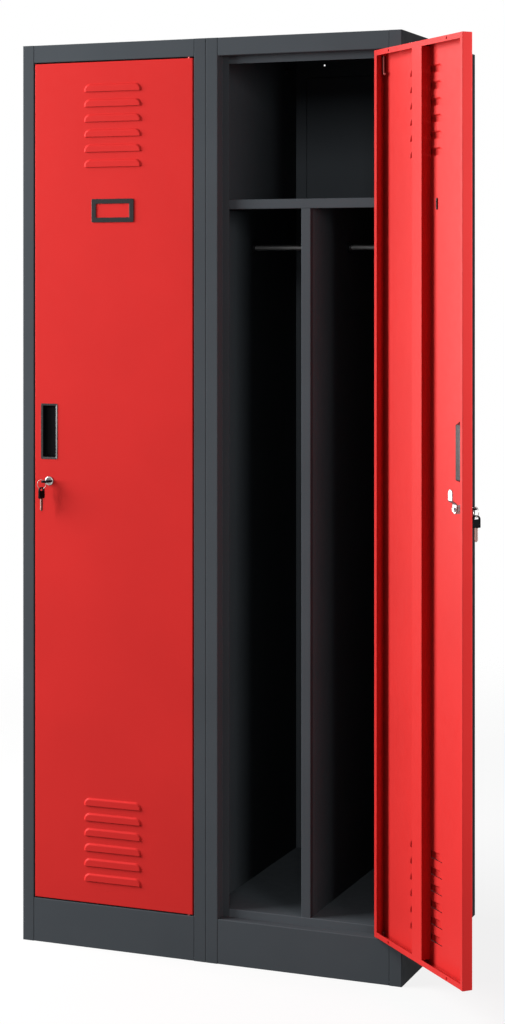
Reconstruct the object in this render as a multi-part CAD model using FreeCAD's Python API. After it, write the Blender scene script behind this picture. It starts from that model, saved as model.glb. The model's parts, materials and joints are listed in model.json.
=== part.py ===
import FreeCAD, Part
import math
import os

# Two-bay clothing locker in folded sheet steel.
# Millimetres, +Z up, +Y to the back. The origin is on the floor, midway along the seam of the two bays.

Vector = FreeCAD.Vector

# Cabinet
bay_width = 400.0
cabinet_depth = 500.0
cabinet_height = 1800.0
sheet = 0.8
bend_radius = 1.6
post_width = 25.0
top_rail_height = 35.0
plinth_height = 87.0
rebate_depth = 24.0
stop_width = 14.5
joint_gap = 0.3
weld_flange = 15.0
flange_setback = 6.0
foot_angle_width = 20.0
foot_angle_length = 420.0

# Insides
floor_top = 102.5
floor_flange = 20.0
shelf_top = 1485.6
shelf_lip = 18.7
shelf_return = 10.0
partition_face = 208.5
partition_fold = 19.5
partition_return = 12.0
field_margin = 23.0
field_bottom = 130.0
field_top = 1766.0
field_depth = 3.0
rod_radius = 6.0
rod_height = 1395.0
socket_radius = 12.5
socket_length = 7.0
socket_floor = 2.0
rod_clearance = 0.05

# Fixing holes and joining bolts
wall_hole_radius = 2.0
wall_hole_inset = 66.0
wall_hole_height = 1790.0
bolt_radius = 3.0
bolt_hole_radius = 3.2
bolt_head_radius = 5.5
bolt_head_length = 4.0
bolt_tail = 3.0
nut_length = 5.0
thread_clearance = 0.05
bolt_depths = (-190.0, 190.0)
bolt_heights = (45.0, 1775.0)

# Door
door_gap = 2.5
door_depth = 20.0
door_lip = 10.5
free_edge_lip = 8.5
hinge_return = 10.0
door_open_angle = 135.0
lip_hole_radius = 2.5
lip_hole_inset = 59.0
stiffener_width = 39.0
louvre_count = 6
louvre_pitch = 30.0
louvre_width = 125.0
louvre_margin = 44.0
# Each louvre section: depth, narrowing at both ends, height and corner radius
louvre_sections = (
    (0.0, 0.0, 15.0, 13.0),
    (2.2, 1.8, 13.2, 11.2),
    (3.0, 3.6, 11.4, 9.4),
)

# Hinge
pin_radius = 2.5
pin_from_edge = 9.5
pin_from_front = 4.5
running_clearance = 0.05
top_pin_rise = 12.5
top_pin_drop = 41.5
pin_hook_bend = 4.0
pin_hook_reach = 10.0
pin_hook_direction = (-0.96, 0.28)
bottom_pin_drop = 11.5
bottom_pin_rise = 9.0
shoulder_radius = 3.5
guide_half_width = 6.0
guide_depth = 7.5
guide_height = 9.2

# Card frame
card_width = 92.0
card_height = 46.5
card_bar = 9.5
card_thickness = 2.2
card_centre_height = 1466.5
card_corner = 3.0
card_tab_offset = 44.0
card_tab_width = 2.0
card_tab_height = 21.0
card_tab_length = 2.6
tab_clearance = 0.3

# Handle cup
cup_from_edge = 32.0
cup_centre_height = 1025.5
cup_width = 36.8
cup_height = 111.3
cup_rim = 2.6
cup_rim_thickness = 1.0
cup_wall = 1.5
cup_depth = 12.5
cup_end_slope = 4.0
cup_pull_slope = 1.2
cup_grip_slope = 8.0
cup_corner = 2.0
cup_clearance = 0.2

# Lock
lock_from_edge = 32.0
lock_height = 926.0
bezel_radius = 9.25
bezel_thickness = 2.4
barrel_radius = 8.0
barrel_length = 16.0
rotor_radius = 5.0
lock_nut_half_width = 10.0
lock_nut_length = 3.0
tang_half_width = 2.5
cam_thickness = 2.0
cam_half_width = 7.0
cam_crank_start = 9.0
cam_crank_end = 17.0
cam_length = 35.0
cam_bend = 3.0
cam_clearance = 0.5
cam_screw_half_width = 4.0
cam_screw_head = 3.0
cam_screw_radius = 1.5
cam_screw_length = 6.0

# Keys
key_blade_width = 7.0
key_blade_thickness = 2.0
key_blade_length = 25.0
key_insertion = 14.0
key_tang = 8.0
key_head_gap = 0.4
key_head_length = 22.5
key_head_width = 17.0
key_head_thickness = 4.0
key_head_end_radius = 6.0
key_head_shoulder_radius = 2.5
key_hole_width = 10.4
key_hole_height = 3.2
key_hole_from_end = 4.5
ring_wire_radius = 0.6
ring_radius = 9.3
ring_lift = 3.0
spare_hole_lift = 1.3

# Levels that follow from the sizes above
front = -cabinet_depth / 2
back = cabinet_depth / 2
stop_plane = front + rebate_depth
plate_top = cabinet_height - sheet
rail_bottom = cabinet_height - top_rail_height
shelf_front = stop_plane + sheet + joint_gap
shelf_bottom = shelf_top - shelf_lip
back_sheet_front = back - sheet
field_front = back_sheet_front - field_depth
door_left = post_width + door_gap
door_right = bay_width - post_width - door_gap
door_bottom = plinth_height + door_gap
door_top = rail_bottom - door_gap
door_inner = front + door_depth
skin_inner = front + sheet
hinge_x = door_right - pin_from_edge
hinge_y = front + pin_from_front
lock_x = door_left + lock_from_edge
bezel_front = front - bezel_thickness
cam_front = front + barrel_length + 2 * joint_gap
cam_tip_front = stop_plane + sheet + cam_clearance
key_head_start = bezel_front - key_head_gap
key_hole_y = key_head_start - key_head_length + key_hole_from_end
key_bar_x = -(key_hole_width + key_head_width) / 4
ring_centre_z = ring_lift - (ring_radius - ring_wire_radius)
ring_bottom_z = ring_centre_z - ring_radius
stiffener_left = (bay_width - stiffener_width) / 2
partition_edge_back = shelf_front + partition_return

# Smallest distance and turn that count as more than nothing
tolerance = 1e-6

bays = (("left", -bay_width, 0.0), ("right", 0.0, door_open_angle))


def box(x_range, y_range, z_range):
    """Block between two limits on each axis."""
    size = [limits[1] - limits[0] for limits in (x_range, y_range, z_range)]
    return Part.makeBox(size[0], size[1], size[2], Vector(x_range[0], y_range[0], z_range[0]))


def rod_along(axis, start, radius, length):
    """Solid cylinder from start, along a unit direction."""
    return Part.makeCylinder(radius, length, Vector(*start), Vector(*axis))


def hexagon_along(axis, start, half_width, length):
    """Six-sided block from start along Y or X, half_width across half its flats."""
    corner = half_width / math.cos(math.pi / 6)
    points = []
    for step in range(7):
        angle = math.pi / 3 * step
        across, up = corner * math.cos(angle), corner * math.sin(angle)
        offset = Vector(across, 0, up) if axis[1] else Vector(0, across, up)
        points.append(Vector(*start) + offset)
    return Part.Face(Part.makePolygon(points)).extrude(Vector(*axis) * length)


def mirrored(shape):
    """The same piece on the other side of the bay."""
    return shape.mirror(Vector(bay_width / 2, 0, 0), Vector(1, 0, 0))


def both_sides(shape):
    """A piece and its mirror image in the bay, in a list."""
    return [shape, mirrored(shape)]


def at_height(z):
    """Places plan points (x, y) at one height."""
    return lambda point: Vector(point[0], point[1], z)


def at_width(x):
    """Places side-view points (y, z) at one x."""
    return lambda point: Vector(x, point[0], point[1])


def at_depth(y):
    """Places front-view points (x, z) at one y."""
    return lambda point: Vector(point[0], y, point[1])


def round_corner(before, corner, after, radius):
    """Start, middle and end of the arc that rounds one corner of a flat path."""
    arrive = (Vector(*corner) - Vector(*before)).normalize()
    leave = (Vector(*after) - Vector(*corner)).normalize()
    half_turn = arrive.getAngle(leave) / 2
    reach = radius * math.tan(half_turn)
    start = Vector(*corner) - arrive * reach
    end = Vector(*corner) + leave * reach
    inward = (leave - arrive).normalize()
    middle = Vector(*corner) + inward * (radius / math.cos(half_turn) - radius)
    return [(point.x, point.y) for point in (start, middle, end)]


def joined_edges(pieces, place):
    """Closed wire of the arcs given, with straight edges between them."""
    edges = []
    for index, piece in enumerate(pieces):
        following = pieces[(index + 1) % len(pieces)]
        if len(piece) == 3:
            edges.append(Part.Arc(*[place(point) for point in piece]).toShape())
        gap_start, gap_end = place(piece[-1]), place(following[0])
        if gap_start.distanceToPoint(gap_end) > tolerance:
            edges.append(Part.makeLine(gap_start, gap_end))
    return Part.Wire(edges)


def flat_path(points):
    """The same points with a zero third coordinate."""
    return [(point[0], point[1], 0.0) for point in points]


def rounded_outline(corners, radii, place):
    """Closed outline through corners, each rounded to its radius, or sharp where that is zero."""
    path = flat_path(corners)
    pieces = []
    for index, corner in enumerate(path):
        if radii[index] > 0:
            following = path[(index + 1) % len(path)]
            pieces.append(round_corner(path[index - 1], corner, following, radii[index]))
        else:
            pieces.append([corner[:2]])
    return joined_edges(pieces, place)


def rectangle(x_range, z_range):
    """Front-view corners of a rectangle, from lower left, turning right."""
    low, high = z_range
    return [(x_range[0], low), (x_range[1], low), (x_range[1], high), (x_range[0], high)]


def rounded_block(x_range, z_range, y_range, radii):
    """Block along Y whose outline in the front view has rounded corners, from lower left."""
    outline = rounded_outline(rectangle(x_range, z_range), radii, at_depth(y_range[0]))
    return Part.Face(outline).extrude(Vector(0, y_range[1] - y_range[0], 0))


def folded_sheet(corners, place, run, thickness=sheet, outer_radius=bend_radius):
    """Sheet folded along corners, with its thickness to the left of the path, extruded along run."""
    path = flat_path(corners)
    near, far = [], []
    for index, corner in enumerate(path):
        before = Vector(*path[max(index - 1, 0)])
        after = Vector(*path[min(index + 1, len(path) - 1)])
        here = Vector(*corner)
        arrive = (here - before if index else after - here).normalize()
        leave = (after - here if index < len(path) - 1 else here - before).normalize()
        side_in = Vector(-arrive.y, arrive.x, 0)
        side_out = Vector(-leave.y, leave.x, 0)
        turn = arrive.cross(leave).z
        if abs(turn) < tolerance:
            beside = here + side_in * thickness
            near.append([(here.x, here.y)])
            far.append([(beside.x, beside.y)])
            continue
        shifted = here + (side_in + side_out) * (thickness / (1 + side_in.dot(side_out)))
        inner_radius = outer_radius - thickness
        radii = (outer_radius, inner_radius) if turn > 0 else (inner_radius, outer_radius)
        near.append(round_corner(here - arrive, here, here + leave, radii[0]))
        far.append(round_corner(shifted - arrive, shifted, shifted + leave, radii[1]))
    far_back = [list(reversed(piece)) for piece in reversed(far)]
    return Part.Face(joined_edges(near + far_back, place)).extrude(Vector(*run))


def frustum(sections):
    """Solid through rounded front-view outlines, one for each (corners, radii, y)."""
    wires = [rounded_outline(corners, radii, at_depth(y)) for corners, radii, y in sections]
    return Part.makeLoft(wires, True, True)


def inset(limits, amount):
    """A pair of limits drawn in by amount at each end."""
    return (limits[0] + amount, limits[1] - amount)


def fused(first, others):
    """One solid from pieces that touch or overlap, with the seams removed."""
    return first.fuse(others).removeSplitter()


def side_panel(joined):
    """Left wall of a bay with its front post, rebate and stop flange; bolt holes where bays join."""
    path = [
        (0, back_sheet_front),
        (0, front),
        (post_width, front),
        (post_width, stop_plane),
        (post_width + stop_width, stop_plane),
    ]
    panel = folded_sheet(path, at_height(0), (0, 0, plate_top))
    if joined:
        starts = [(-sheet, y, z) for y in bolt_depths for z in bolt_heights]
        panel = panel.cut([rod_along((1, 0, 0), start, bolt_hole_radius, 3 * sheet) for start in starts])
    return panel


def foot_angles():
    """Angle strips at the foot of both walls of a bay, flat on the floor."""
    path = [(sheet, foot_angle_width), (sheet, 0), (sheet + foot_angle_width, 0)]
    strip = folded_sheet(path, at_depth(-foot_angle_length / 2), (0, foot_angle_length, 0))
    return both_sides(strip)


def corner_notches(z_range):
    """Room at both front corners for the stop flanges of the side panels."""
    x_range = (post_width, post_width + stop_width + joint_gap)
    y_range = (stop_plane - sheet, stop_plane + partition_return + sheet)
    return both_sides(box(x_range, y_range, z_range))


def hinge_hole(z_range):
    """Bore on the hinge line that a pin turns in."""
    radius = pin_radius + running_clearance
    return rod_along((0, 0, 1), (hinge_x, hinge_y, z_range[0]), radius, z_range[1] - z_range[0])


def wall_holes():
    """Bores through the upper edge of the back, for screws into a wall."""
    length = 10 * sheet
    low = rod_along((0, 1, 0), (wall_hole_inset, back - length, wall_hole_height), wall_hole_radius, length)
    return both_sides(low)


def top_panel():
    """Top sheet, folded into the front rail and upper stop, with weld flanges on the other sides."""
    path = [
        (stop_plane + weld_flange, cabinet_height),
        (front, cabinet_height),
        (front, rail_bottom),
        (stop_plane, rail_bottom),
        (stop_plane, rail_bottom - stop_width),
    ]
    rail_start = post_width + joint_gap
    rail = folded_sheet(path, at_width(rail_start), (bay_width - 2 * rail_start, 0, 0))
    rail = rail.cut(corner_notches((rail_bottom - stop_width - sheet, rail_bottom + 2 * sheet)))
    plate = box((0, bay_width), (stop_plane, back), (plate_top, cabinet_height))
    post_cap = box((0, rail_start), (front, stop_plane), (plate_top, cabinet_height))
    flange_z = (cabinet_height - weld_flange, plate_top)
    side_flange = box((sheet, 2 * sheet), (stop_plane + flange_setback, back_sheet_front - sheet), flange_z)
    back_flange = box((sheet, bay_width - sheet), (back_sheet_front - sheet, back_sheet_front), flange_z)
    panel = fused(plate, [rail, back_flange] + both_sides(post_cap) + both_sides(side_flange))
    return panel.cut([hinge_hole((rail_bottom - sheet, rail_bottom + 2 * sheet))] + wall_holes())


def plinth():
    """Kick plate between the posts, with a ledge on top and a foot flange below."""
    path = [
        (stop_plane + partition_return, plinth_height),
        (front, plinth_height),
        (front, 0),
        (front + weld_flange, 0),
    ]
    start = post_width + joint_gap
    plate = folded_sheet(path, at_width(start), (bay_width - 2 * start, 0, 0))
    plate = plate.cut(corner_notches((plinth_height - 2 * sheet, plinth_height + sheet)))
    return plate.cut(hinge_hole((plinth_height - 2 * sheet, plinth_height + sheet)))


def floor_panel():
    """Floor sheet whose front fold stands on the plinth's ledge as the lower stop."""
    path = [
        (stop_plane + 2 * weld_flange, floor_top),
        (stop_plane, floor_top),
        (stop_plane, plinth_height),
    ]
    start = post_width + stop_width + joint_gap
    fold = folded_sheet(path, at_width(start), (bay_width - 2 * start, 0, 0))
    plate_y = (shelf_front, back_sheet_front)
    plate = box((sheet, bay_width - sheet), plate_y, (floor_top - sheet, floor_top))
    flange_y = (stop_plane + flange_setback, back - weld_flange)
    flange = box((sheet, 2 * sheet), flange_y, (floor_top - floor_flange, floor_top - sheet))
    return fused(plate, [fold] + both_sides(flange))


def back_panel():
    """Back sheet with a large rectangular field pressed forward by its depth, on sloped sides."""
    plate = box((0, bay_width), (back_sheet_front, back), (0, plate_top))
    field_x = (field_margin, bay_width - field_margin)
    field_z = (field_bottom, field_top)
    sharp = (0, 0, 0, 0)
    rise = field_depth + sheet
    slope_wall = sheet * math.sqrt(2)
    raised = frustum([
        (rectangle(field_x, field_z), sharp, back),
        (rectangle(inset(field_x, rise), inset(field_z, rise)), sharp, back - rise),
    ])
    mouth_x, mouth_z = inset(field_x, slope_wall), inset(field_z, slope_wall)
    pocket = frustum([
        (rectangle(mouth_x, mouth_z), sharp, back),
        (rectangle(inset(mouth_x, field_depth), inset(mouth_z, field_depth)), sharp, back - field_depth),
    ])
    return fused(plate, [raised]).cut([pocket] + wall_holes())


def shelf():
    """Shelf with a tall front lip that turns back under itself, and weld flanges at the walls."""
    path = [
        (shelf_front + 2 * weld_flange, shelf_top),
        (shelf_front, shelf_top),
        (shelf_front, shelf_bottom),
        (shelf_front + shelf_return, shelf_bottom),
    ]
    lip = folded_sheet(path, at_width(sheet), (bay_width - 2 * sheet, 0, 0))
    plate_y = (shelf_front + weld_flange, field_front)
    plate = box((sheet, bay_width - sheet), plate_y, (shelf_top - sheet, shelf_top))
    flange_y = (shelf_front + weld_flange, back - weld_flange)
    flange = box((sheet, 2 * sheet), flange_y, (shelf_bottom, shelf_top - sheet))
    return fused(plate, [lip] + both_sides(flange))


def partition():
    """Upright sheet between floor and shelf, with a tongue up to the underside of the shelf."""
    sheet_x = (partition_face - sheet, partition_face)
    upright = box(sheet_x, (partition_edge_back, field_front), (floor_top, shelf_bottom))
    tongue_y = (shelf_front + 2 * weld_flange, back - 2 * weld_flange)
    return fused(upright, [box(sheet_x, tongue_y, (shelf_bottom, shelf_top - sheet))])


def partition_edge():
    """Wide channel along the partition's front, in line with its face."""
    left = partition_face - partition_fold
    path = [
        (left, partition_edge_back),
        (left, shelf_front),
        (partition_face, shelf_front),
        (partition_face, partition_edge_back),
    ]
    return folded_sheet(path, at_height(floor_top), (0, 0, shelf_bottom - floor_top))


def rod_spans():
    """Wall-to-wall limits of the two hanging rods of a bay."""
    return ((sheet, partition_face - sheet), (partition_face, bay_width - sheet))


def hanging_rods():
    """Two round rods across the hanging spaces, set into their sockets."""
    rods = []
    for span in rod_spans():
        start, end = inset(span, socket_floor)
        rods.append(rod_along((1, 0, 0), (start, 0, rod_height), rod_radius, end - start))
    return Part.makeCompound(rods)


def rod_sockets():
    """Round end sockets on the walls, each with a blind bore for a rod."""
    sockets = []
    for span in rod_spans():
        for wall, direction in zip(span, (1, -1)):
            axis = (direction, 0, 0)
            body = rod_along(axis, (wall, 0, rod_height), socket_radius, socket_length)
            mouth = (wall + direction * socket_floor, 0, rod_height)
            sockets.append(body.cut(rod_along(axis, mouth, rod_radius + rod_clearance, socket_length)))
    return Part.makeCompound(sockets)


def joining_bolts():
    """Hexagon bolts and nuts through the two middle walls."""
    pieces = []
    for y in bolt_depths:
        for z in bolt_heights:
            head = hexagon_along((-1, 0, 0), (-sheet, y, z), bolt_head_radius, bolt_head_length)
            shank_length = 2 * sheet + nut_length + bolt_tail
            shank = rod_along((1, 0, 0), (-sheet, y, z), bolt_radius, shank_length)
            pieces.append(fused(head, [shank]))
            nut = hexagon_along((1, 0, 0), (sheet, y, z), bolt_head_radius, nut_length)
            thread = rod_along((1, 0, 0), (sheet, y, z), bolt_radius + thread_clearance, nut_length)
            pieces.append(nut.cut(thread))
    return Part.makeCompound(pieces)


def louvre_section(depth, narrowing, height, radius, wall):
    """Outline of a louvre at one depth: flat at the mouth, rounded above, drawn in by the wall."""
    half = louvre_width / 2 - narrowing - wall
    centre = bay_width / 2
    corners = rectangle((centre - half, centre + half), (0, height - wall))
    return corners, (0, 0, radius - wall, radius - wall), front - depth + wall


def louvre_hood(wall):
    """Louvre pressed outwards and open along its lower edge, as a filled form drawn in by the wall."""
    sections = [louvre_section(*section, wall) for section in louvre_sections]
    base_corners, base_radii, base_y = sections[0]
    root_y = base_y + (2 * sheet if wall else sheet / 2)
    return frustum([(base_corners, base_radii, root_y)] + sections)


def louvre_heights():
    """Mouth heights of the lower and the upper group of louvres."""
    lowest = door_bottom + louvre_margin
    highest = door_top - louvre_margin - louvre_sections[0][2]
    lower = [lowest + louvre_pitch * index for index in range(louvre_count)]
    upper = [highest - louvre_pitch * index for index in range(louvre_count)]
    return lower + upper


def at_louvres(shape):
    """Copies of one louvre form at every louvre height."""
    return [shape.translated(Vector(0, 0, height)) for height in louvre_heights()]


def front_edges(shape):
    """Edges of a door block that lie in its front face."""
    nearest = shape.BoundBox.YMin + tolerance
    return [edge for edge in shape.Edges if all(end.Y < nearest for end in edge.Vertexes)]


def door_pan():
    """Folded door pan: front sheet, four sides and narrow lips, the hinge lip turned back in."""
    door_x = (door_left, door_right)
    door_z = (door_bottom, door_top)
    outer = box(door_x, (front, door_inner), door_z)
    outer = outer.makeFillet(bend_radius, front_edges(outer))
    inner = box(inset(door_x, sheet), (skin_inner, door_inner - sheet), inset(door_z, sheet))
    inner = inner.makeFillet(bend_radius - sheet, front_edges(inner))
    mouth_z = inset(door_z, door_lip)
    mouth_x = (door_left + free_edge_lip, door_right - door_lip)
    mouth = box(mouth_x, (front + door_depth / 2, door_inner + sheet), mouth_z)
    lip_edge = door_right - door_lip
    returned = box((lip_edge, lip_edge + sheet), (door_inner - hinge_return, door_inner), mouth_z)
    return fused(outer.cut([inner, mouth]), [returned])


def lip_holes():
    """Small drain and coating holes in the upper and lower lips."""
    holes = []
    for x in (door_left + lip_hole_inset, door_right - lip_hole_inset):
        for z in (door_bottom + door_lip / 2, door_top - door_lip / 2):
            holes.append(rod_along((0, 1, 0), (x, door_inner - 2 * sheet, z), lip_hole_radius, 3 * sheet))
    return holes


def card_tabs(clearance):
    """The two tabs of the card frame, or with clearance the slots that they pass through."""
    half_width = card_tab_width / 2 + clearance
    half_height = card_tab_height / 2 + clearance
    tabs = []
    for offset in (-card_tab_offset, card_tab_offset):
        centre = bay_width / 2 + offset
        x_range = (centre - half_width, centre + half_width)
        z_range = (card_centre_height - half_height, card_centre_height + half_height)
        tabs.append(box(x_range, (front - sheet, skin_inner + card_tab_length), z_range))
    return tabs


def cup_limits(margin):
    """Front-view limits of the handle cup, drawn in by a margin."""
    centre = door_left + cup_from_edge
    x_range = (centre - cup_width / 2, centre + cup_width / 2)
    z_range = (cup_centre_height - cup_height / 2, cup_centre_height + cup_height / 2)
    return inset(x_range, margin), inset(z_range, margin)


def cup_floor(x_range, z_range):
    """Deepest part of the cup: steep at the pulled edge, and sloped where the fingers slide in."""
    floor_x = (x_range[0] + cup_pull_slope, x_range[1] - cup_grip_slope)
    return rectangle(floor_x, inset(z_range, cup_end_slope))


def door_skin():
    """Door pan with louvres pressed out and openings for the hinge, lock, handle cup and card frame."""
    skin = door_pan().fuse(at_louvres(louvre_hood(0)))
    cup_x, cup_z = cup_limits(cup_rim - cup_clearance)
    openings = at_louvres(louvre_hood(sheet)) + lip_holes() + card_tabs(tab_clearance)
    openings.append(box(cup_x, (front - sheet, skin_inner + sheet), cup_z))
    openings.append(rod_along((0, 1, 0), (lock_x, front - sheet, lock_height), barrel_radius, 3 * sheet))
    openings.append(hinge_hole((door_top - 2 * sheet, door_top + sheet)))
    openings.append(rod_along((0, 0, 1), (hinge_x, hinge_y, door_bottom - sheet), pin_radius, 3 * sheet))
    return skin.cut(openings)


def door_stiffener():
    """Upright channel inside the door, its face in line with the lips and its walls on the front sheet."""
    path = [
        (stiffener_left + stiffener_width, skin_inner),
        (stiffener_left + stiffener_width, door_inner),
        (stiffener_left, door_inner),
        (stiffener_left, skin_inner),
    ]
    low, high = inset((door_bottom, door_top), door_lip)
    return folded_sheet(path, at_height(low), (0, 0, high - low))


def card_frame():
    """Open rectangular frame on the door's face, held by two tabs through the sheet."""
    half_width, half_height = card_width / 2, card_height / 2
    centre = bay_width / 2
    x_range = (centre - half_width, centre + half_width)
    z_range = (card_centre_height - half_height, card_centre_height + half_height)
    plate_y = (front - card_thickness, front)
    plate = rounded_block(x_range, z_range, plate_y, (card_corner,) * 4)
    window_y = (front - 2 * card_thickness, front + sheet)
    window = box(inset(x_range, card_bar), window_y, inset(z_range, card_bar))
    return fused(plate.cut(window), card_tabs(0))


def handle_cup():
    """Recessed finger cup: a thin rim on the door's face and a tub with sloped walls behind it."""
    rim_x, rim_z = cup_limits(0)
    tub_x, tub_z = cup_limits(cup_rim)
    rim_front = front - cup_rim_thickness
    tub_back = front + cup_depth
    corner = (cup_corner,) * 4
    rim = rounded_block(rim_x, rim_z, (rim_front, front), corner)
    tub_floor = cup_floor(tub_x, tub_z)
    tub = frustum([
        (rectangle(tub_x, tub_z), corner, front - cup_rim_thickness / 2),
        (rectangle(tub_x, tub_z), corner, front + sheet),
        (tub_floor, corner, tub_back),
    ])
    hollow_x, hollow_z = inset(tub_x, cup_wall), inset(tub_z, cup_wall)
    hollow_floor = cup_floor(hollow_x, hollow_z)
    hollow = frustum([
        (rectangle(hollow_x, hollow_z), corner, rim_front - sheet),
        (rectangle(hollow_x, hollow_z), corner, front + sheet),
        (hollow_floor, corner, tub_back - cup_wall),
    ])
    return fused(rim, [tub]).cut(hollow)


def lock_housing():
    """Round lock barrel through the door, with a bright bezel on the face."""
    bezel = rod_along((0, 1, 0), (lock_x, bezel_front, lock_height), bezel_radius, bezel_thickness)
    bezel = bezel.makeFillet(bezel_thickness / 2, front_edges(bezel))
    barrel = rod_along((0, 1, 0), (lock_x, front, lock_height), barrel_radius, barrel_length)
    length = bezel_thickness + barrel_length
    bore_radius = rotor_radius + running_clearance
    bore = rod_along((0, 1, 0), (lock_x, bezel_front, lock_height), bore_radius, length)
    return fused(bezel, [barrel]).cut(bore)


def lock_nut():
    """Flat hexagon nut that clamps the barrel to the front sheet."""
    start = (lock_x, skin_inner, lock_height)
    nut = hexagon_along((0, 1, 0), start, lock_nut_half_width, lock_nut_length)
    return nut.cut(rod_along((0, 1, 0), start, barrel_radius + thread_clearance, lock_nut_length))


def lock_rotor():
    """Turning plug of the lock, with a keyway in front and a square tang for the cam behind."""
    face = bezel_front + joint_gap
    plug = rod_along((0, 1, 0), (lock_x, face, lock_height), rotor_radius, cam_front - face)
    tang_x = (lock_x - tang_half_width, lock_x + tang_half_width)
    tang_z = (lock_height - tang_half_width, lock_height + tang_half_width)
    tang = box(tang_x, (cam_front, cam_front + cam_thickness), tang_z)
    half_width = key_blade_width / 2 + running_clearance
    half_height = key_blade_thickness / 2 + running_clearance
    keyway_x = (lock_x - half_width, lock_x + half_width)
    keyway_z = (lock_height - half_height, lock_height + half_height)
    keyway = box(keyway_x, (face - sheet, face + key_insertion + sheet), keyway_z)
    thread_start = cam_front + cam_thickness - cam_screw_length
    thread_radius = cam_screw_radius + thread_clearance
    thread = rod_along((0, 1, 0), (lock_x, thread_start, lock_height), thread_radius, cam_screw_length)
    return fused(plug, [tang]).cut([keyway, thread])


def lock_cam():
    """Cranked cam that reaches behind the stop flange when it is turned to the side."""
    rear = cam_front + cam_thickness
    path = [
        (cam_tip_front, lock_height + cam_length),
        (cam_tip_front, lock_height + cam_crank_end),
        (cam_front, lock_height + cam_crank_start),
        (cam_front, lock_height - cam_half_width),
    ]
    width = 2 * cam_half_width
    blank = folded_sheet(path, at_width(lock_x - cam_half_width), (width, 0, 0), cam_thickness, cam_bend)
    x_range = (lock_x - cam_half_width, lock_x + cam_half_width)
    z_range = (lock_height - cam_half_width, lock_height + cam_length)
    y_range = (cam_front - sheet, cam_tip_front + 2 * cam_thickness)
    corner = cam_half_width - joint_gap
    outline = rounded_block(x_range, z_range, y_range, (corner,) * 4)
    half = tang_half_width + thread_clearance
    square_x = (lock_x - half, lock_x + half)
    square_z = (lock_height - half, lock_height + half)
    square = box(square_x, (cam_front - sheet, rear + sheet), square_z)
    return blank.common(outline).cut(square)


def cam_screw():
    """Hexagon screw that holds the cam on the rotor's tang."""
    rear = cam_front + cam_thickness
    head = hexagon_along((0, 1, 0), (lock_x, rear, lock_height), cam_screw_half_width, cam_screw_head)
    shank_length = cam_screw_length - 2 * joint_gap
    shank = rod_along((0, 1, 0), (lock_x, rear - shank_length, lock_height), cam_screw_radius, shank_length)
    return fused(head, [shank])


def key_blade(tip_y):
    """Flat key blade along Y at the lock's axis, from its tip to the tang inside the head."""
    x_range = (lock_x - key_blade_width / 2, lock_x + key_blade_width / 2)
    z_range = (lock_height - key_blade_thickness / 2, lock_height + key_blade_thickness / 2)
    return box(x_range, (key_head_start - key_tang, tip_y), z_range)


def key_head(tip_y):
    """Moulded key head around the blade's tang, with a long hole for the ring near its end."""
    end_y = key_head_start - key_head_length
    half_width = key_head_width / 2
    half_height = key_head_thickness / 2
    corners = [
        (lock_x - half_width, end_y),
        (lock_x + half_width, end_y),
        (lock_x + half_width, key_head_start),
        (lock_x - half_width, key_head_start),
    ]
    radii = (key_head_end_radius,) * 2 + (key_head_shoulder_radius,) * 2
    outline = rounded_outline(corners, radii, at_height(lock_height - half_height))
    head = Part.Face(outline).extrude(Vector(0, 0, key_head_thickness))
    half_slot = key_hole_width / 2
    half_hole = key_hole_height / 2
    slot_corners = [
        (lock_x - half_slot, key_hole_y - half_hole),
        (lock_x + half_slot, key_hole_y - half_hole),
        (lock_x + half_slot, key_hole_y + half_hole),
        (lock_x - half_slot, key_hole_y + half_hole),
    ]
    slot_radii = (half_hole - joint_gap,) * 4
    slot_outline = rounded_outline(slot_corners, slot_radii, at_height(lock_height - key_head_thickness))
    slot = Part.Face(slot_outline).extrude(Vector(0, 0, 2 * key_head_thickness))
    return head.cut([slot, key_blade(tip_y)])


def key_ring():
    """Round wire ring through the key's hole and around the edge of its head, hanging down."""
    centre = Vector(lock_x + key_bar_x, key_hole_y, lock_height + ring_centre_z)
    return Part.makeTorus(ring_radius, ring_wire_radius, centre, Vector(0, 1, 0))


def hung_as_spare(shape, turn):
    """A key piece hung from the bottom of the ring, its blade down, turned about the vertical."""
    wire = Vector(lock_x + key_bar_x, key_hole_y, lock_height + ring_bottom_z)
    hole = Vector(lock_x, key_hole_y, lock_height)
    hung = shape.copy()
    hung.rotate(hole, Vector(1, 0, 0), -90)
    hung.rotate(hole, Vector(0, 0, 1), 90 + turn)
    hung.translate(wire - hole + Vector(0, 0, spare_hole_lift - key_hole_height / 2))
    return hung


def top_hinge_pin():
    """Bent rod: upright through the door's top into the rail, hooked at its lower end for the fingers."""
    top = Vector(hinge_x, hinge_y, door_top + top_pin_rise)
    bend_start = Vector(hinge_x, hinge_y, door_top - top_pin_drop)
    aside = Vector(pin_hook_direction[0], pin_hook_direction[1], 0)
    bend_end = bend_start + aside * pin_hook_bend - Vector(0, 0, pin_hook_bend)
    diagonal = pin_hook_bend * math.sqrt(0.5)
    bend_middle = bend_start + aside * (pin_hook_bend - diagonal) - Vector(0, 0, diagonal)
    tip = bend_end + aside * pin_hook_reach
    upright = Part.makeLine(top, bend_start)
    bent = Part.Arc(bend_start, bend_middle, bend_end).toShape()
    hook = Part.makeLine(bend_end, tip)
    path = Part.Wire([upright, bent, hook])
    section = Part.Wire([Part.makeCircle(pin_radius, top, Vector(0, 0, 1))])
    return path.makePipeShell([section], True, False)


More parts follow.
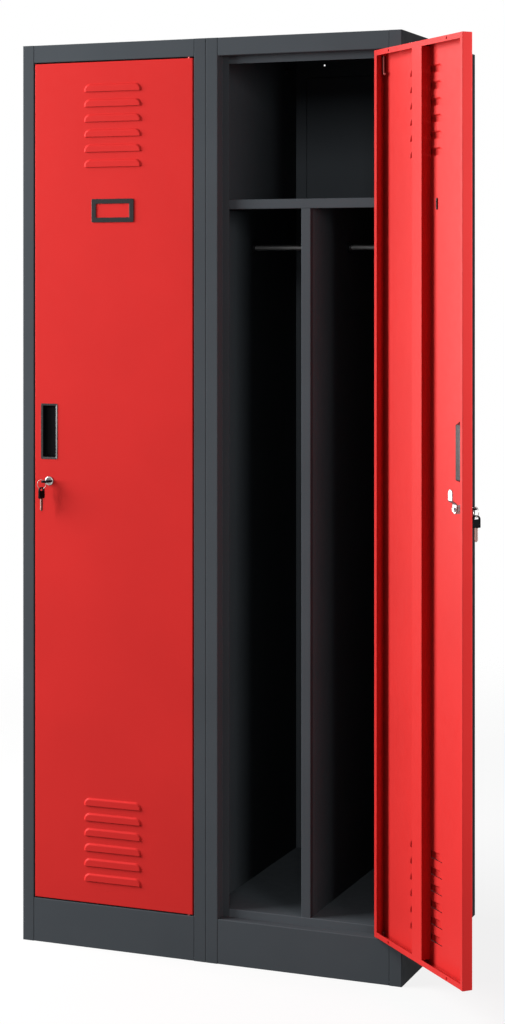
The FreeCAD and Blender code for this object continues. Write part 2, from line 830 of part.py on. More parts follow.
def bottom_hinge_pin():
    """Fixed pin under the door, with a shoulder that carries the door on the plinth's ledge."""
    low = plinth_height - bottom_pin_drop
    pin = rod_along((0, 0, 1), (hinge_x, hinge_y, low), pin_radius, door_bottom + bottom_pin_rise - low)
    shoulder_z = plinth_height + joint_gap
    shoulder_length = door_bottom - shoulder_z
    shoulder = rod_along((0, 0, 1), (hinge_x, hinge_y, shoulder_z), shoulder_radius, shoulder_length)
    return fused(pin, [shoulder])


def pin_guide():
    """Block in the upper hinge corner of the door that the top pin slides in."""
    x_range = (hinge_x - guide_half_width, hinge_x + guide_half_width)
    z_range = (door_top - 2 * sheet - guide_height, door_top - 2 * sheet)
    block = box(x_range, (skin_inner, skin_inner + guide_depth), z_range)
    return block.cut(hinge_hole((z_range[0] - sheet, z_range[1] + sheet)))


def save(shape, name):
    """Write one named piece."""
    shape.exportStep("parts/" + name + ".step")


def carcass_pieces():
    """Fixed pieces of one bay, by the second half of their names."""
    return {
        "top_panel": top_panel(),
        "plinth": plinth(),
        "floor_panel": floor_panel(),
        "back_panel": back_panel(),
        "shelf": shelf(),
        "partition": partition(),
        "partition_edge": partition_edge(),
        "hanging_rods": hanging_rods(),
        "rod_sockets": rod_sockets(),
    }


def door_pieces():
    """Pieces that go round with a door, except the spare key."""
    inserted_tip = bezel_front + joint_gap + key_insertion
    return {
        "door_skin": door_skin(),
        "door_stiffener": door_stiffener(),
        "card_frame": card_frame(),
        "handle_cup": handle_cup(),
        "lock_housing": lock_housing(),
        "lock_nut": lock_nut(),
        "lock_rotor": lock_rotor(),
        "lock_cam": lock_cam(),
        "cam_screw": cam_screw(),
        "key_blade": key_blade(inserted_tip),
        "key_head": key_head(inserted_tip),
        "key_ring": key_ring(),
        "top_hinge_pin": top_hinge_pin(),
        "bottom_hinge_pin": bottom_hinge_pin(),
        "pin_guide": pin_guide(),
    }


def spare_key_pieces(turn):
    """Blade and head of the spare key as they hang from the ring."""
    tip = key_head_start + key_blade_length
    return {
        "spare_key_blade": hung_as_spare(key_blade(tip), turn),
        "spare_key_head": hung_as_spare(key_head(tip), turn),
    }


def main():
    """Build both bays: the left door shut, the right door swung open."""
    os.makedirs("parts", exist_ok=True)
    fixed = carcass_pieces()
    swinging = door_pieces()
    plain_wall = side_panel(False)
    joined_wall = side_panel(True)
    feet = []
    for side, shift, opening in bays:
        move = Vector(shift, 0, 0)
        feet += [strip.translated(move) for strip in foot_angles()]
        for name, shape in fixed.items():
            save(shape.translated(move), side + "_" + name)
        spare_turn = -10.0 if opening == 0 else 0.0
        for name, shape in {**swinging, **spare_key_pieces(spare_turn)}.items():
            placed = shape.translated(move)
            placed.rotate(Vector(hinge_x, hinge_y, 0) + move, Vector(0, 0, 1), opening)
            save(placed, side + "_" + name)
    to_left_bay = Vector(-bay_width, 0, 0)
    save(plain_wall.translated(to_left_bay), "outer_left_side_panel")
    save(mirrored(joined_wall).translated(to_left_bay), "middle_left_side_panel")
    save(joined_wall, "middle_right_side_panel")
    save(mirrored(plain_wall), "outer_right_side_panel")
    save(Part.makeCompound(feet), "foot_angles")
    save(joining_bolts(), "joining_bolts")


main()
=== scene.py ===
"""Looks of a two-bay clothing locker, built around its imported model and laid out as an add-on."""

import json
import math

import bmesh
import bpy
import numpy as np
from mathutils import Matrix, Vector

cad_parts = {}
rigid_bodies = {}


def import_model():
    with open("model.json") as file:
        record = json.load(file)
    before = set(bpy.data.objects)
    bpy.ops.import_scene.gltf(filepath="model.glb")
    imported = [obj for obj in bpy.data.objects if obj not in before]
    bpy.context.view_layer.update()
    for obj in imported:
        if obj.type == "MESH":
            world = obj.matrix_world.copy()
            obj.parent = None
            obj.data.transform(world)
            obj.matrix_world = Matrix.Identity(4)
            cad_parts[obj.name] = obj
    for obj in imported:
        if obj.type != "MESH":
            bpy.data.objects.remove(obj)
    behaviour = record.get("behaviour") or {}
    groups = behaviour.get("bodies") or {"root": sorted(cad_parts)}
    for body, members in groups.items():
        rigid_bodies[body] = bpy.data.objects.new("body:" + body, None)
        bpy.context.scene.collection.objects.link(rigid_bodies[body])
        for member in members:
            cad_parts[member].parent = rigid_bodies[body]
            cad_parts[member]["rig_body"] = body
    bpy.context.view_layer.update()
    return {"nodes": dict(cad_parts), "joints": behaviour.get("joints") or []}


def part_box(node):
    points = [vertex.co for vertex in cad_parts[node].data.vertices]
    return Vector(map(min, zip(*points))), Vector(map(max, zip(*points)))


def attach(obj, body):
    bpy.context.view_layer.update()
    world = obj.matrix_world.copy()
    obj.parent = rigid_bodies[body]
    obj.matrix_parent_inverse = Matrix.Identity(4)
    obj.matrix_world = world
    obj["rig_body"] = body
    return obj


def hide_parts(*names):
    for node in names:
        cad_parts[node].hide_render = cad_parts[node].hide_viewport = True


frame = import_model()

bl_info = {
    "name": "Clothing locker",
    "version": (1, 0, 0),
    "blender": (4, 5, 0),
    "location": "View3D > Sidebar > Locker",
    "description": "Dresses the packed model of a two-bay clothing locker",
    "category": "Object",
}

sides = ("left", "right")
quarter_turn = math.pi / 2
full_turn = 2 * math.pi

# Mesh settings
merge_distance = 1e-5
same_place = 1e-7
crease_angle = math.radians(38)
corner_steps = 6
round_steps = 72
rings_a_pitch = 6

# Noise: the part of its range laid over a finish's limits, and the roughness features for each tone feature
noise_range = (0.3, 0.7)
roughness_features = 12

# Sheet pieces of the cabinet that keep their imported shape
bay_sheets = ("top_panel", "plinth", "floor_panel", "back_panel", "shelf", "partition", "partition_edge")
shared_sheets = (
    "outer_left_side_panel",
    "middle_left_side_panel",
    "middle_right_side_panel",
    "outer_right_side_panel",
    "foot_angles",
)


def length(label, words, default):
    """Size property in metres."""
    return bpy.props.FloatProperty(
        name=label, description=words, default=default, min=0.0, unit="LENGTH", precision=4
    )


def colour(label, words, default):
    """Colour property in scene linear values."""
    return bpy.props.FloatVectorProperty(
        name=label, description=words, default=default, min=0.0, max=1.0, size=3, subtype="COLOR"
    )


def amount(label, words, default):
    """Plain number property."""
    return bpy.props.FloatProperty(name=label, description=words, default=default, min=0.0)


def power(label, words, default):
    """Lamp power property in watts."""
    return bpy.props.FloatProperty(name=label, description=words, default=default, min=0.0, unit="POWER")


class LockerFinish(bpy.types.PropertyGroup):
    """Colours of the painted, moulded and plated pieces."""

    cabinet: colour("Cabinet paint", "Powder coat of the cabinet", (0.060, 0.068, 0.076))
    door: colour("Door paint", "Powder coat of the doors", (0.57, 0.0255, 0.0235))
    plastic: colour("Plastic", "Card frames, handle cups and key heads", (0.006, 0.006, 0.007))
    nickel: colour("Nickel", "Lock housings, rotors and key rings", (0.38, 0.37, 0.355))
    zinc: colour("Zinc", "Cams, cam screws and lock nuts", (0.36, 0.365, 0.37))
    # Rods: the zinc plate made darker; the darkening is painted shade for the dark bay around them
    rod: colour("Rods", "Hanging rods, darkened as painted shade of the bay", (0.20, 0.20, 0.20))
    # Key blades: steel darkened and tinted red, a painted reflection of the red door and the darker
    # surroundings
    steel: colour("Steel", "Key blades, dulled by use and tinted by the door", (0.19, 0.125, 0.11))
    # Hinge pins: steel tinted red, a painted reflection of the red door around them
    pin: colour("Hinge pins", "Hinge pins, tinted by the door around them", (0.30, 0.075, 0.07))
    # Bolts: blackened steel, a real finish, kept this dark also as painted shade so the heads sink into the
    # dark bay
    bolt: colour("Bolts", "Blackened joining bolts and nuts", (0.022, 0.022, 0.023))


class LockerSizes(bpy.types.PropertyGroup):
    """Sizes of the door sheet and its fittings."""

    sheet: length("Sheet", "Thickness of the door sheet", 0.0008)
    bend: length("Bend", "Outer radius where the door's face turns into its sides", 0.0016)
    lip: length("Lip", "Width of the lips around the door's back", 0.0105)
    free_lip: length("Free lip", "Width of the lip along the door's free edge", 0.0085)
    hinge_return: length("Hinge return", "Depth of the return on the hinge lip", 0.010)
    louvre_width: length("Louvre width", "Louvre from end to end", 0.125)
    louvre_height: length("Louvre height", "Louvre from its mouth to its top", 0.015)
    louvre_corner: length("Louvre corner", "Radius of a louvre's upper corners", 0.013)
    louvre_band: length("Louvre band", "Width of the slope round a louvre's ends and top", 0.0036)
    louvre_rise: length("Louvre rise", "How far a louvre stands out of the door", 0.0030)
    louvre_pitch: length("Louvre pitch", "Distance between neighbouring louvres", 0.030)
    louvre_margin: length("Louvre margin", "Door edge to the nearest louvre", 0.044)
    lip_hole: length("Lip hole", "Radius of the holes in the lips", 0.0025)
    card_bar: length("Card frame bar", "Width of the card frame's bars", 0.0095)
    cup_rim: length("Cup rim", "Width of the handle cup's rim", 0.0041)
    key_head: length("Key head", "Length of a key's moulded head", 0.0225)
    key_blade: length("Key blade", "Length of a key's blade", 0.025)
    ring_radius: length("Ring radius", "Middle radius of the key rings", 0.0093)


class LockerStage(bpy.types.PropertyGroup):
    """Floor and light."""

    floor: colour("Floor", "Colour of the floor, for the light that it throws back", (0.14, 0.14, 0.14))
    floor_seen: colour("Floor seen", "Colour of the floor as the camera sees it", (0.80, 0.80, 0.80))
    left_power: power("Left light", "Large light on the cabinet, the shut door and the floor", 400.0)
    side_power: power("Side light", "Light on the inside of the open door", 415.0)
    front_power: power("Front light", "Light on the cabinet's front and the shut door", 46.0)
    right_power: power("Right light", "Light on the open door's free edge", 128.0)
    inside_power: power("Inside light", "Light on the inner walls and floor panels", 60.0)
    back_power: power("Back light", "Weak light behind the locker", 120.0)
    ambient: amount("Ambient", "Strength of the light from all round", 0.15)
    floor_glow: amount("Floor glow", "Share of plain white in the floor, as the camera sees it", 0.86)


# Surfaces

def grid_faces(rows, columns, closed_rows=False):
    """Faces between the points of a grid whose columns close on themselves, and its rows where asked."""
    index = np.arange(rows * columns).reshape(rows, columns)
    above = np.roll(index, -1, axis=0)
    count = rows if closed_rows else rows - 1
    here, above = index[:count], above[:count]
    corners = (here, np.roll(here, -1, axis=1), np.roll(above, -1, axis=1), above)
    return np.stack(corners, axis=-1).reshape(-1, 4)


def loft(rings, looped=False):
    """Skin over a stack of closed rings, each point joined to its neighbours in its ring and the next.

    The end rings are filled with flat faces, or a looped stack joins its last ring to its first."""
    count, around = rings.shape[:2]
    faces = [grid_faces(count, around, looped)]
    if not looped:
        first = np.arange(around)[None, :]
        faces += [first[:, ::-1], first + (count - 1) * around]
    return rings.reshape(-1, 3), faces


def combined(surfaces):
    """Several surfaces as one: points stacked, face numbers counted on."""
    points, faces, count = [], [], 0
    for surface_points, surface_faces in surfaces:
        points.append(surface_points)
        faces += [part + count for part in surface_faces]
        count += len(surface_points)
    return np.vstack(points), faces


def moved(surface, matrix, offset):
    """Surface turned by a 3 by 3 matrix and then shifted."""
    points, faces = surface
    return points @ np.asarray(matrix, float).T + np.asarray(offset), faces


def rounded_ring(first_range, second_range, radius, steps=corner_steps):
    """Rounded rectangle: a quarter circle about each corner's centre, from the low corner, turning right.

    The radius is one number or one for each corner; half the width makes it a circle."""
    radii = np.broadcast_to(radius, 4)[:, None]
    first_corner = np.take(first_range, (0, 1, 1, 0))[:, None]
    second_corner = np.take(second_range, (0, 0, 1, 1))[:, None]
    inward_first = np.array((1, -1, -1, 1))[:, None]
    inward_second = np.array((1, 1, -1, -1))[:, None]
    start = math.pi + quarter_turn * np.arange(4)[:, None]
    turn = start + np.linspace(0, quarter_turn, steps + 1)
    first = first_corner + radii * (inward_first + np.cos(turn))
    second = second_corner + radii * (inward_second + np.sin(turn))
    return np.stack((first.ravel(), second.ravel()), axis=-1)


def span(middle, half):
    """Limits at the same distance on both sides of a middle."""
    return (middle - half, middle + half)


def inset(limits, distance):
    """A pair of limits drawn in by a distance at each end."""
    return (limits[0] + distance, limits[1] - distance)


def depth_rings(sections):
    """Rounded rectangles (x limits, z limits, radius, y) as a stack of rings along Y."""
    flat = [rounded_ring(x_range, z_range, radius) for x_range, z_range, radius, _ in sections]
    depth = [np.full(len(ring), section[3]) for ring, section in zip(flat, sections)]
    return np.array([np.column_stack((ring[:, 0], y, ring[:, 1])) for ring, y in zip(flat, depth)])


def height_rings(sections):
    """Rounded rectangles (x limits, y limits, radius, z) as a stack of rings along Z."""
    rings = depth_rings(sections)
    return rings[:, :, (0, 2, 1)]


def hexagon(half_width):
    """Radius of a hexagon at an angle: half its width over the cosine of the turn from the nearest flat."""
    return lambda angle: half_width / np.cos(np.mod(angle, math.pi / 3) - math.pi / 6)


def round_rings(profile, outline=None, steps=round_steps):
    """Rings about the Y axis: each (radius, y) of the profile carried round in a circle.

    Where an outline gives a radius for each angle, the smaller of the two radii is used."""
    radius, depth = np.asarray(profile, float).T
    angle = np.linspace(0, full_turn, steps, endpoint=False)
    reach = np.repeat(radius[:, None], steps, axis=1)
    if outline is not None:
        reach = np.minimum(reach, outline(angle))
    height = np.repeat(depth[:, None], steps, axis=1)
    return np.stack((reach * np.cos(angle), height, reach * np.sin(angle)), axis=-1)


def threaded_rings(radius, groove, pitch, start, end, steps=round_steps):
    """Rings of a screw thread along Y: the radius dips by a triangle wave that advances a pitch a turn."""
    angle = np.linspace(0, full_turn, steps, endpoint=False)
    depth = np.arange(start, end, pitch / rings_a_pitch)
    phase = np.mod(depth[:, None] / pitch - angle / full_turn, 1.0)
    dip = groove * np.abs(2 * phase - 1)
    reach = radius - groove + dip
    height = np.repeat(depth[:, None], steps, axis=1)
    return np.stack((reach * np.cos(angle), height, reach * np.sin(angle)), axis=-1)


def tube(path, section, side, scale):
    """Section (along side, across) carried along a path and scaled at each point of it.

    The across direction is the cross product of the side direction and the path's own direction."""
    tangent = np.gradient(path, axis=0)
    tangent /= np.linalg.norm(tangent, axis=1, keepdims=True)
    across = np.cross(side, tangent)
    across /= np.linalg.norm(across, axis=1, keepdims=True)
    scaled = scale[:, None, None] * section[None]
    return path[:, None] + scaled[:, :, :1] * np.asarray(side) + scaled[:, :, 1:] * across[:, None]


# Axes exchanged, to lay a form made along Y along X or Z
along_x = ((0, 1, 0), (1, 0, 0), (0, 0, 1))
along_z = ((1, 0, 0), (0, 0, 1), (0, 1, 0))
unturned = np.eye(3)


def turned(angle):
    """Matrix of a turn about the vertical."""
    return np.array((
        (math.cos(angle), -math.sin(angle), 0),
        (math.sin(angle), math.cos(angle), 0),
        (0, 0, 1),
    ))


# Places in a door, measured from its hinge line while it is shut

def hinge(side):
    """Foot of a door's hinge line, and the angle that the door stands open at rest."""
    swing = next(joint for joint in frame["joints"] if joint["name"] == side + "_door_swing")
    foot = np.array((swing["pos_m"][0], swing["pos_m"][1], 0.0))
    return foot, -math.radians(swing["range_deg"][0])


def shut_box(node):
    """Limits of a door piece from the hinge line, read on the left door, which is shut at rest."""
    foot, _ = hinge("left")
    low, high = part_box("left_" + node)
    return np.array(low) - foot, np.array(high) - foot


def door_face(sizes):
    """Y of a shut door's front face from its hinge line: the guide block sits on the sheet behind it."""
    return shut_box("pin_guide")[0][1] - sizes.sheet


def on_door(surface, side):
    """Surface of a shut door turned about the hinge line to where the door stands."""
    foot, opening = hinge(side)
    return moved(surface, turned(opening), foot)


# Pieces

def finish_mesh(mesh, closed):
    """Merge doubled points, face closed shells outwards and drop loose points."""
    work = bmesh.new()
    work.from_mesh(mesh)
    bmesh.ops.remove_doubles(work, verts=work.verts, dist=merge_distance)
    if closed:
        bmesh.ops.recalc_face_normals(work, faces=work.faces)
    loose = [point for point in work.verts if not point.link_faces]
    bmesh.ops.delete(work, geom=loose, context="VERTS")
    work.to_mesh(mesh)
    work.free()


def add_piece(node, surface, material, body, thickness=None, matt=None):
    """New piece in place of a CAD node. An open sheet is given its thickness inwards.

    Where a matt value is given for each point, it is kept as an attribute of the mesh."""
    points, faces = surface
    mesh = bpy.data.meshes.new(node + "_form")
    mesh.from_pydata(points.tolist(), [], [face for part in faces for face in part.tolist()])
    if matt is not None:
        mesh.attributes.new("matt", "FLOAT", "POINT").data.foreach_set("value", matt)
    finish_mesh(mesh, thickness is None)
    piece = bpy.data.objects.new(node + "_form", mesh)
    bpy.context.scene.collection.objects.link(piece)
    if thickness is not None:
        solid = piece.modifiers.new("Sheet thickness", "SOLIDIFY")
        solid.thickness = thickness
        solid.offset = -1.0
        solid.use_even_offset = True
        settled = piece.evaluated_get(bpy.context.evaluated_depsgraph_get())
        piece.data = bpy.data.meshes.new_from_object(settled)
        piece.data.name = node + "_form"
        piece.modifiers.clear()
        bpy.data.meshes.remove(mesh)
    piece.data.shade_smooth()
    piece.data.set_sharp_from_angle(angle=crease_angle)
    evened = piece.modifiers.new("Even normals", "WEIGHTED_NORMAL")
    evened.keep_sharp = True
    piece.data.materials.append(material)
    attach(piece, body)
    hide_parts(node)


def coat(node, material):
    """Give a CAD node that keeps its shape a finish."""
    mesh = frame["nodes"][node].data
    mesh.materials.clear()
    mesh.materials.append(material)


# Finishes

def node_maker(tree):
    """Function that adds a node, sets it up, and fills its sockets with numbers or links."""
    def make(kind, sockets, **settings):
        """New node of a kind."""
        made = tree.nodes.new(kind)
        for key, value in settings.items():
            setattr(made, key, value)
        for key, value in sockets.items():
            if isinstance(value, bpy.types.NodeSocket):
                tree.links.new(value, made.inputs[key])
            else:
                made.inputs[key].default_value = value
        return made
    return make


def new_finish(name):
    """Empty node material, its node maker and its object coordinates."""
    material = bpy.data.materials.new(name)
    material.use_nodes = True
    material.node_tree.nodes.clear()
    make = node_maker(material.node_tree)
    return material, make, make("ShaderNodeTexCoord", {}).outputs["Object"]


def noise(make, place, scale, detail=2.0):
    """Noise value with about this many features a metre."""
    sockets = {"Vector": place, "Scale": scale, "Detail": detail}
    return make("ShaderNodeTexNoise", sockets).outputs["Fac"]


def spread(make, value, limits):
    """Noise value laid over a range."""
    noise_limits = {"From Min": noise_range[0], "From Max": noise_range[1]}
    sockets = {"Value": value, **noise_limits, "To Min": limits[0], "To Max": limits[1]}
    return make("ShaderNodeMapRange", sockets).outputs["Result"]


def tones(make, value, base, contrast):
    """Colour that drifts between a darker and a lighter tone of the base colour."""
    ramp = make("ShaderNodeValToRGB", {"Fac": value})
    for element, place, factor in zip(ramp.color_ramp.elements, noise_range, span(1, contrast)):
        element.position = place
        element.color = [min(channel * factor, 1.0) for channel in base] + [1.0]
    return ramp.outputs["Color"]


def bumps(make, place, layers):
    """Normal raised by noises, each layer with its features a metre, strength and height in metres."""
    normal = {}
    for scale, strength, height in layers:
        sockets = {"Height": noise(make, place, scale), "Strength": strength, "Distance": height}
        normal["Normal"] = make("ShaderNodeBump", {**sockets, **normal}).outputs["Normal"]
    return normal


def surface_finish(
    name, base, contrast, drift, roughness, layers, stretch=(1, 1, 1), gloss=None, **constants
):
    """Finish with drifting tones, uneven roughness and a raised texture; constants go to the shader.

    The tones have about drift features a metre. Where two gloss levels are given, the mesh's matt
    attribute leads from the first to the second, and a value below zero shines more than the first."""
    material, make, place = new_finish(name)
    place = make("ShaderNodeMapping", {"Vector": place, "Scale": stretch}).outputs["Vector"]
    sockets = {
        "Base Color": tones(make, noise(make, place, drift, 3.0), base, contrast),
        "Roughness": spread(make, noise(make, place, roughness_features * drift), roughness),
        **bumps(make, place, layers),
    }
    if gloss is not None:
        matt = make("ShaderNodeAttribute", {}, attribute_name="matt").outputs["Fac"]
        level_sockets = {"Value": matt, "To Min": gloss[0], "To Max": gloss[1]}
        level = make("ShaderNodeMapRange", level_sockets, clamp=False)
        sockets["Specular IOR Level"] = level.outputs["Result"]
    shader = make("ShaderNodeBsdfPrincipled", sockets)
    for key, value in constants.items():
        shader.inputs[key.replace("_", " ")].default_value = value
    make("ShaderNodeOutputMaterial", {"Surface": shader.outputs["BSDF"]})
    return material


def make_finishes(colours):
    """All finishes of the locker: one for each slot, and four for zinc pieces that look different: darker
    rods (painted shade), key blades and pins tinted red (painted reflection of the door), and blackened bolts
    (a real finish that is also painted shade).
    """
    paint_layers = ((900.0, 0.10, 0.0002), (260.0, 0.06, 0.0006))
    plastic_layers = ((2200.0, 0.12, 0.0001), (400.0, 0.05, 0.0002))
    bright_layers = ((1500.0, 0.05, 0.0001),)
    plate_layers = ((600.0, 0.10, 0.0002),)
    worn_layers = ((900.0, 0.10, 0.0001),)
    return {
        "carcass_paint": surface_finish(
            "cabinet_powder_coat", colours.cabinet, contrast=0.05, drift=5.0, roughness=(0.46, 0.58),
            layers=paint_layers, Specular_IOR_Level=0.01,
        ),
        "door_paint": surface_finish(
            "door_powder_coat", colours.door, contrast=0.035, drift=5.0, roughness=(0.36, 0.46),
            layers=paint_layers, Specular_IOR_Level=0.05,
        ),
        "black_plastic": surface_finish(
            "moulded_plastic", colours.plastic, contrast=0.12, drift=40.0, roughness=(0.22, 0.30),
            layers=plastic_layers, gloss=(0.35, 0.03),
        ),
        "bright_metal": surface_finish(
            "bright_nickel", colours.nickel, contrast=0.06, drift=60.0, roughness=(0.16, 0.30),
            layers=bright_layers, stretch=(1, 1, 6), Metallic=1.0,
        ),
        "zinc_steel": surface_finish(
            "zinc_plate", colours.zinc, contrast=0.10, drift=45.0, roughness=(0.34, 0.50),
            layers=plate_layers, stretch=(0.4, 1, 1), Metallic=1.0,
        ),
        # Rods: a darker copy of the zinc plate, painted shade for the dark bay they hang in
        "rod_steel": surface_finish(
            "rubbed_steel", colours.rod, contrast=0.10, drift=45.0, roughness=(0.34, 0.50),
            layers=plate_layers, stretch=(0.4, 1, 1), Metallic=1.0,
        ),
        # Key blades: darker, red-tinted steel, painted reflection of the red door and the darker surroundings
        "reflection_tinted_steel": surface_finish(
            "worn_steel", colours.steel, contrast=0.12, drift=60.0, roughness=(0.40, 0.55),
            layers=worn_layers, stretch=(1, 1, 0.4), Metallic=1.0,
        ),
        # Hinge pins: red-tinted steel, painted reflection of the red door around them
        "pin_steel": surface_finish(
            "drawn_steel", colours.pin, contrast=0.10, drift=60.0, roughness=(0.30, 0.42),
            layers=worn_layers, stretch=(1, 1, 0.2), Metallic=1.0,
        ),
        # Bolts: blackened steel, a real finish, also kept dark as painted shade inside the bay
        "black_steel": surface_finish(
            "blackened_steel", colours.bolt, contrast=0.12, drift=60.0, roughness=(0.40, 0.55),
            layers=worn_layers, Metallic=1.0,
        ),
    }


finishes = {}


def finish_of(name):
    """Finish of a name, all of them made from the scene's colours when one is first needed."""
    if not finishes:
        finishes.update(make_finishes(bpy.context.scene.locker_finish))
    return finishes[name]


def add_to_doors(name, surface, body, slot, finish=None, matt=None):
    """The same piece on both doors, in place of its CAD nodes, in its slot's finish or another."""
    for side in sides:
        node = side + "_" + name
        material = finish_of(finish or slot)
        add_piece(node, on_door(surface, side), material, side + "_" + body, matt=matt)


# Cuts in the door sheet: radii, insets, and the size and place of the card frame's tabs
lock_hole = 0.0081
pin_hole = 0.00255
cup_cut = 0.0024
lip_hole_inset = 0.059
tab_offset = 0.044
tab_half_width = 0.001
tab_half_height = 0.0105
tab_gap = 0.0003

# Grid of the door sheet: lines on and round the louvres, and the mouth height of rows that stay flat
louvres_a_group = 6
louvre_inner_line = 0.02
louvre_corner_lines = 17
louvre_edge = 0.0007
mouth_roll = 0.0008
flat_row = -1.0


# Door sheet

def fold_line(sizes, depth, lip, lip_lines, wall_lines, returned=0.0):
    """Folded edge of the pan seen end on, from the lip's free edge to the door's face.

    Each point is (distance in from the door's edge, depth behind its face). Quarter circles join the
    return to the lip, the lip to the wall and the wall to the face."""
    quarter = np.linspace(0, quarter_turn, 5)
    tight = sizes.sheet
    straight = [(lip, depth)]
    if returned:
        swing_in = np.column_stack((np.cos(quarter) - 1, np.sin(quarter) - 1)) * tight
        straight = [(lip, depth - returned)] + (swing_in + (lip, depth)).tolist()
    straight += [(distance, depth) for distance in lip_lines]
    back_bend = np.column_stack((1 - np.sin(quarter), np.cos(quarter) - 1)) * tight + (0, depth)
    wall = [(0.0, level) for level in wall_lines]
    front_bend = np.column_stack((1 - np.cos(quarter), 1 - np.sin(quarter))) * sizes.bend
    return np.vstack((straight, back_bend, wall, front_bend))


def across_pan(low, high, between, near, far):
    """Position and depth of every grid line across the pan: a fold, the face, and the other fold."""
    between = np.asarray(sorted(between))
    position = np.concatenate((low + near[:, 0], between, high - far[::-1, 0]))
    depth = np.concatenate((near[:, 1], np.zeros(len(between)), far[::-1, 1]))
    return position, depth


def around_hole(centre, radius):
    """Grid lines through a round hole, from rim to rim."""
    return [centre + radius * share for share in (-1.0, -0.5, 0.0, 0.5, 1.0)]


def on_circle(first, second, centre, radius):
    """Grid points on the rim of a square, moved straight towards its centre onto a circle."""
    first_off, second_off = first - centre[0], second - centre[1]
    square = np.maximum(np.abs(first_off), np.abs(second_off))
    distance = np.maximum(np.hypot(first_off, second_off), merge_distance)
    scale = np.where(np.isclose(square, radius, atol=same_place), radius / distance, 1.0)
    return centre[0] + first_off * scale, centre[1] + second_off * scale


def louvre_mouths(sizes, low, high):
    """Mouth heights of the lower and the upper group of louvres."""
    steps = sizes.louvre_pitch * np.arange(louvres_a_group)
    top = high - sizes.louvre_margin - sizes.louvre_height
    return np.concatenate((low + sizes.louvre_margin + steps, top - steps[::-1]))


def louvre_lift(sizes, x, z, centre):
    """How far a louvre stands out: its rise times a smooth step of the distance in from its outline.

    The outline is a rectangle with its upper corners rounded and its lower edge open."""
    to_end = sizes.louvre_width / 2 - np.abs(x - centre)
    to_top = sizes.louvre_height - z
    from_corner = np.hypot(*[np.maximum(sizes.louvre_corner - reach, 0) for reach in (to_end, to_top)])
    inward = np.minimum(np.minimum(to_end, to_top), sizes.louvre_corner - from_corner)
    share = np.clip(inward / sizes.louvre_band, 0, 1)
    return sizes.louvre_rise * share ** 1.5 * (2.5 - 1.5 * share)


def cell_middles(lines):
    """Middle of each gap between neighbouring lines."""
    return (lines[1:] + lines[:-1]) / 2


def inside(values, limits):
    """Which values lie between two limits."""
    return (values > limits[0]) & (values < limits[1])


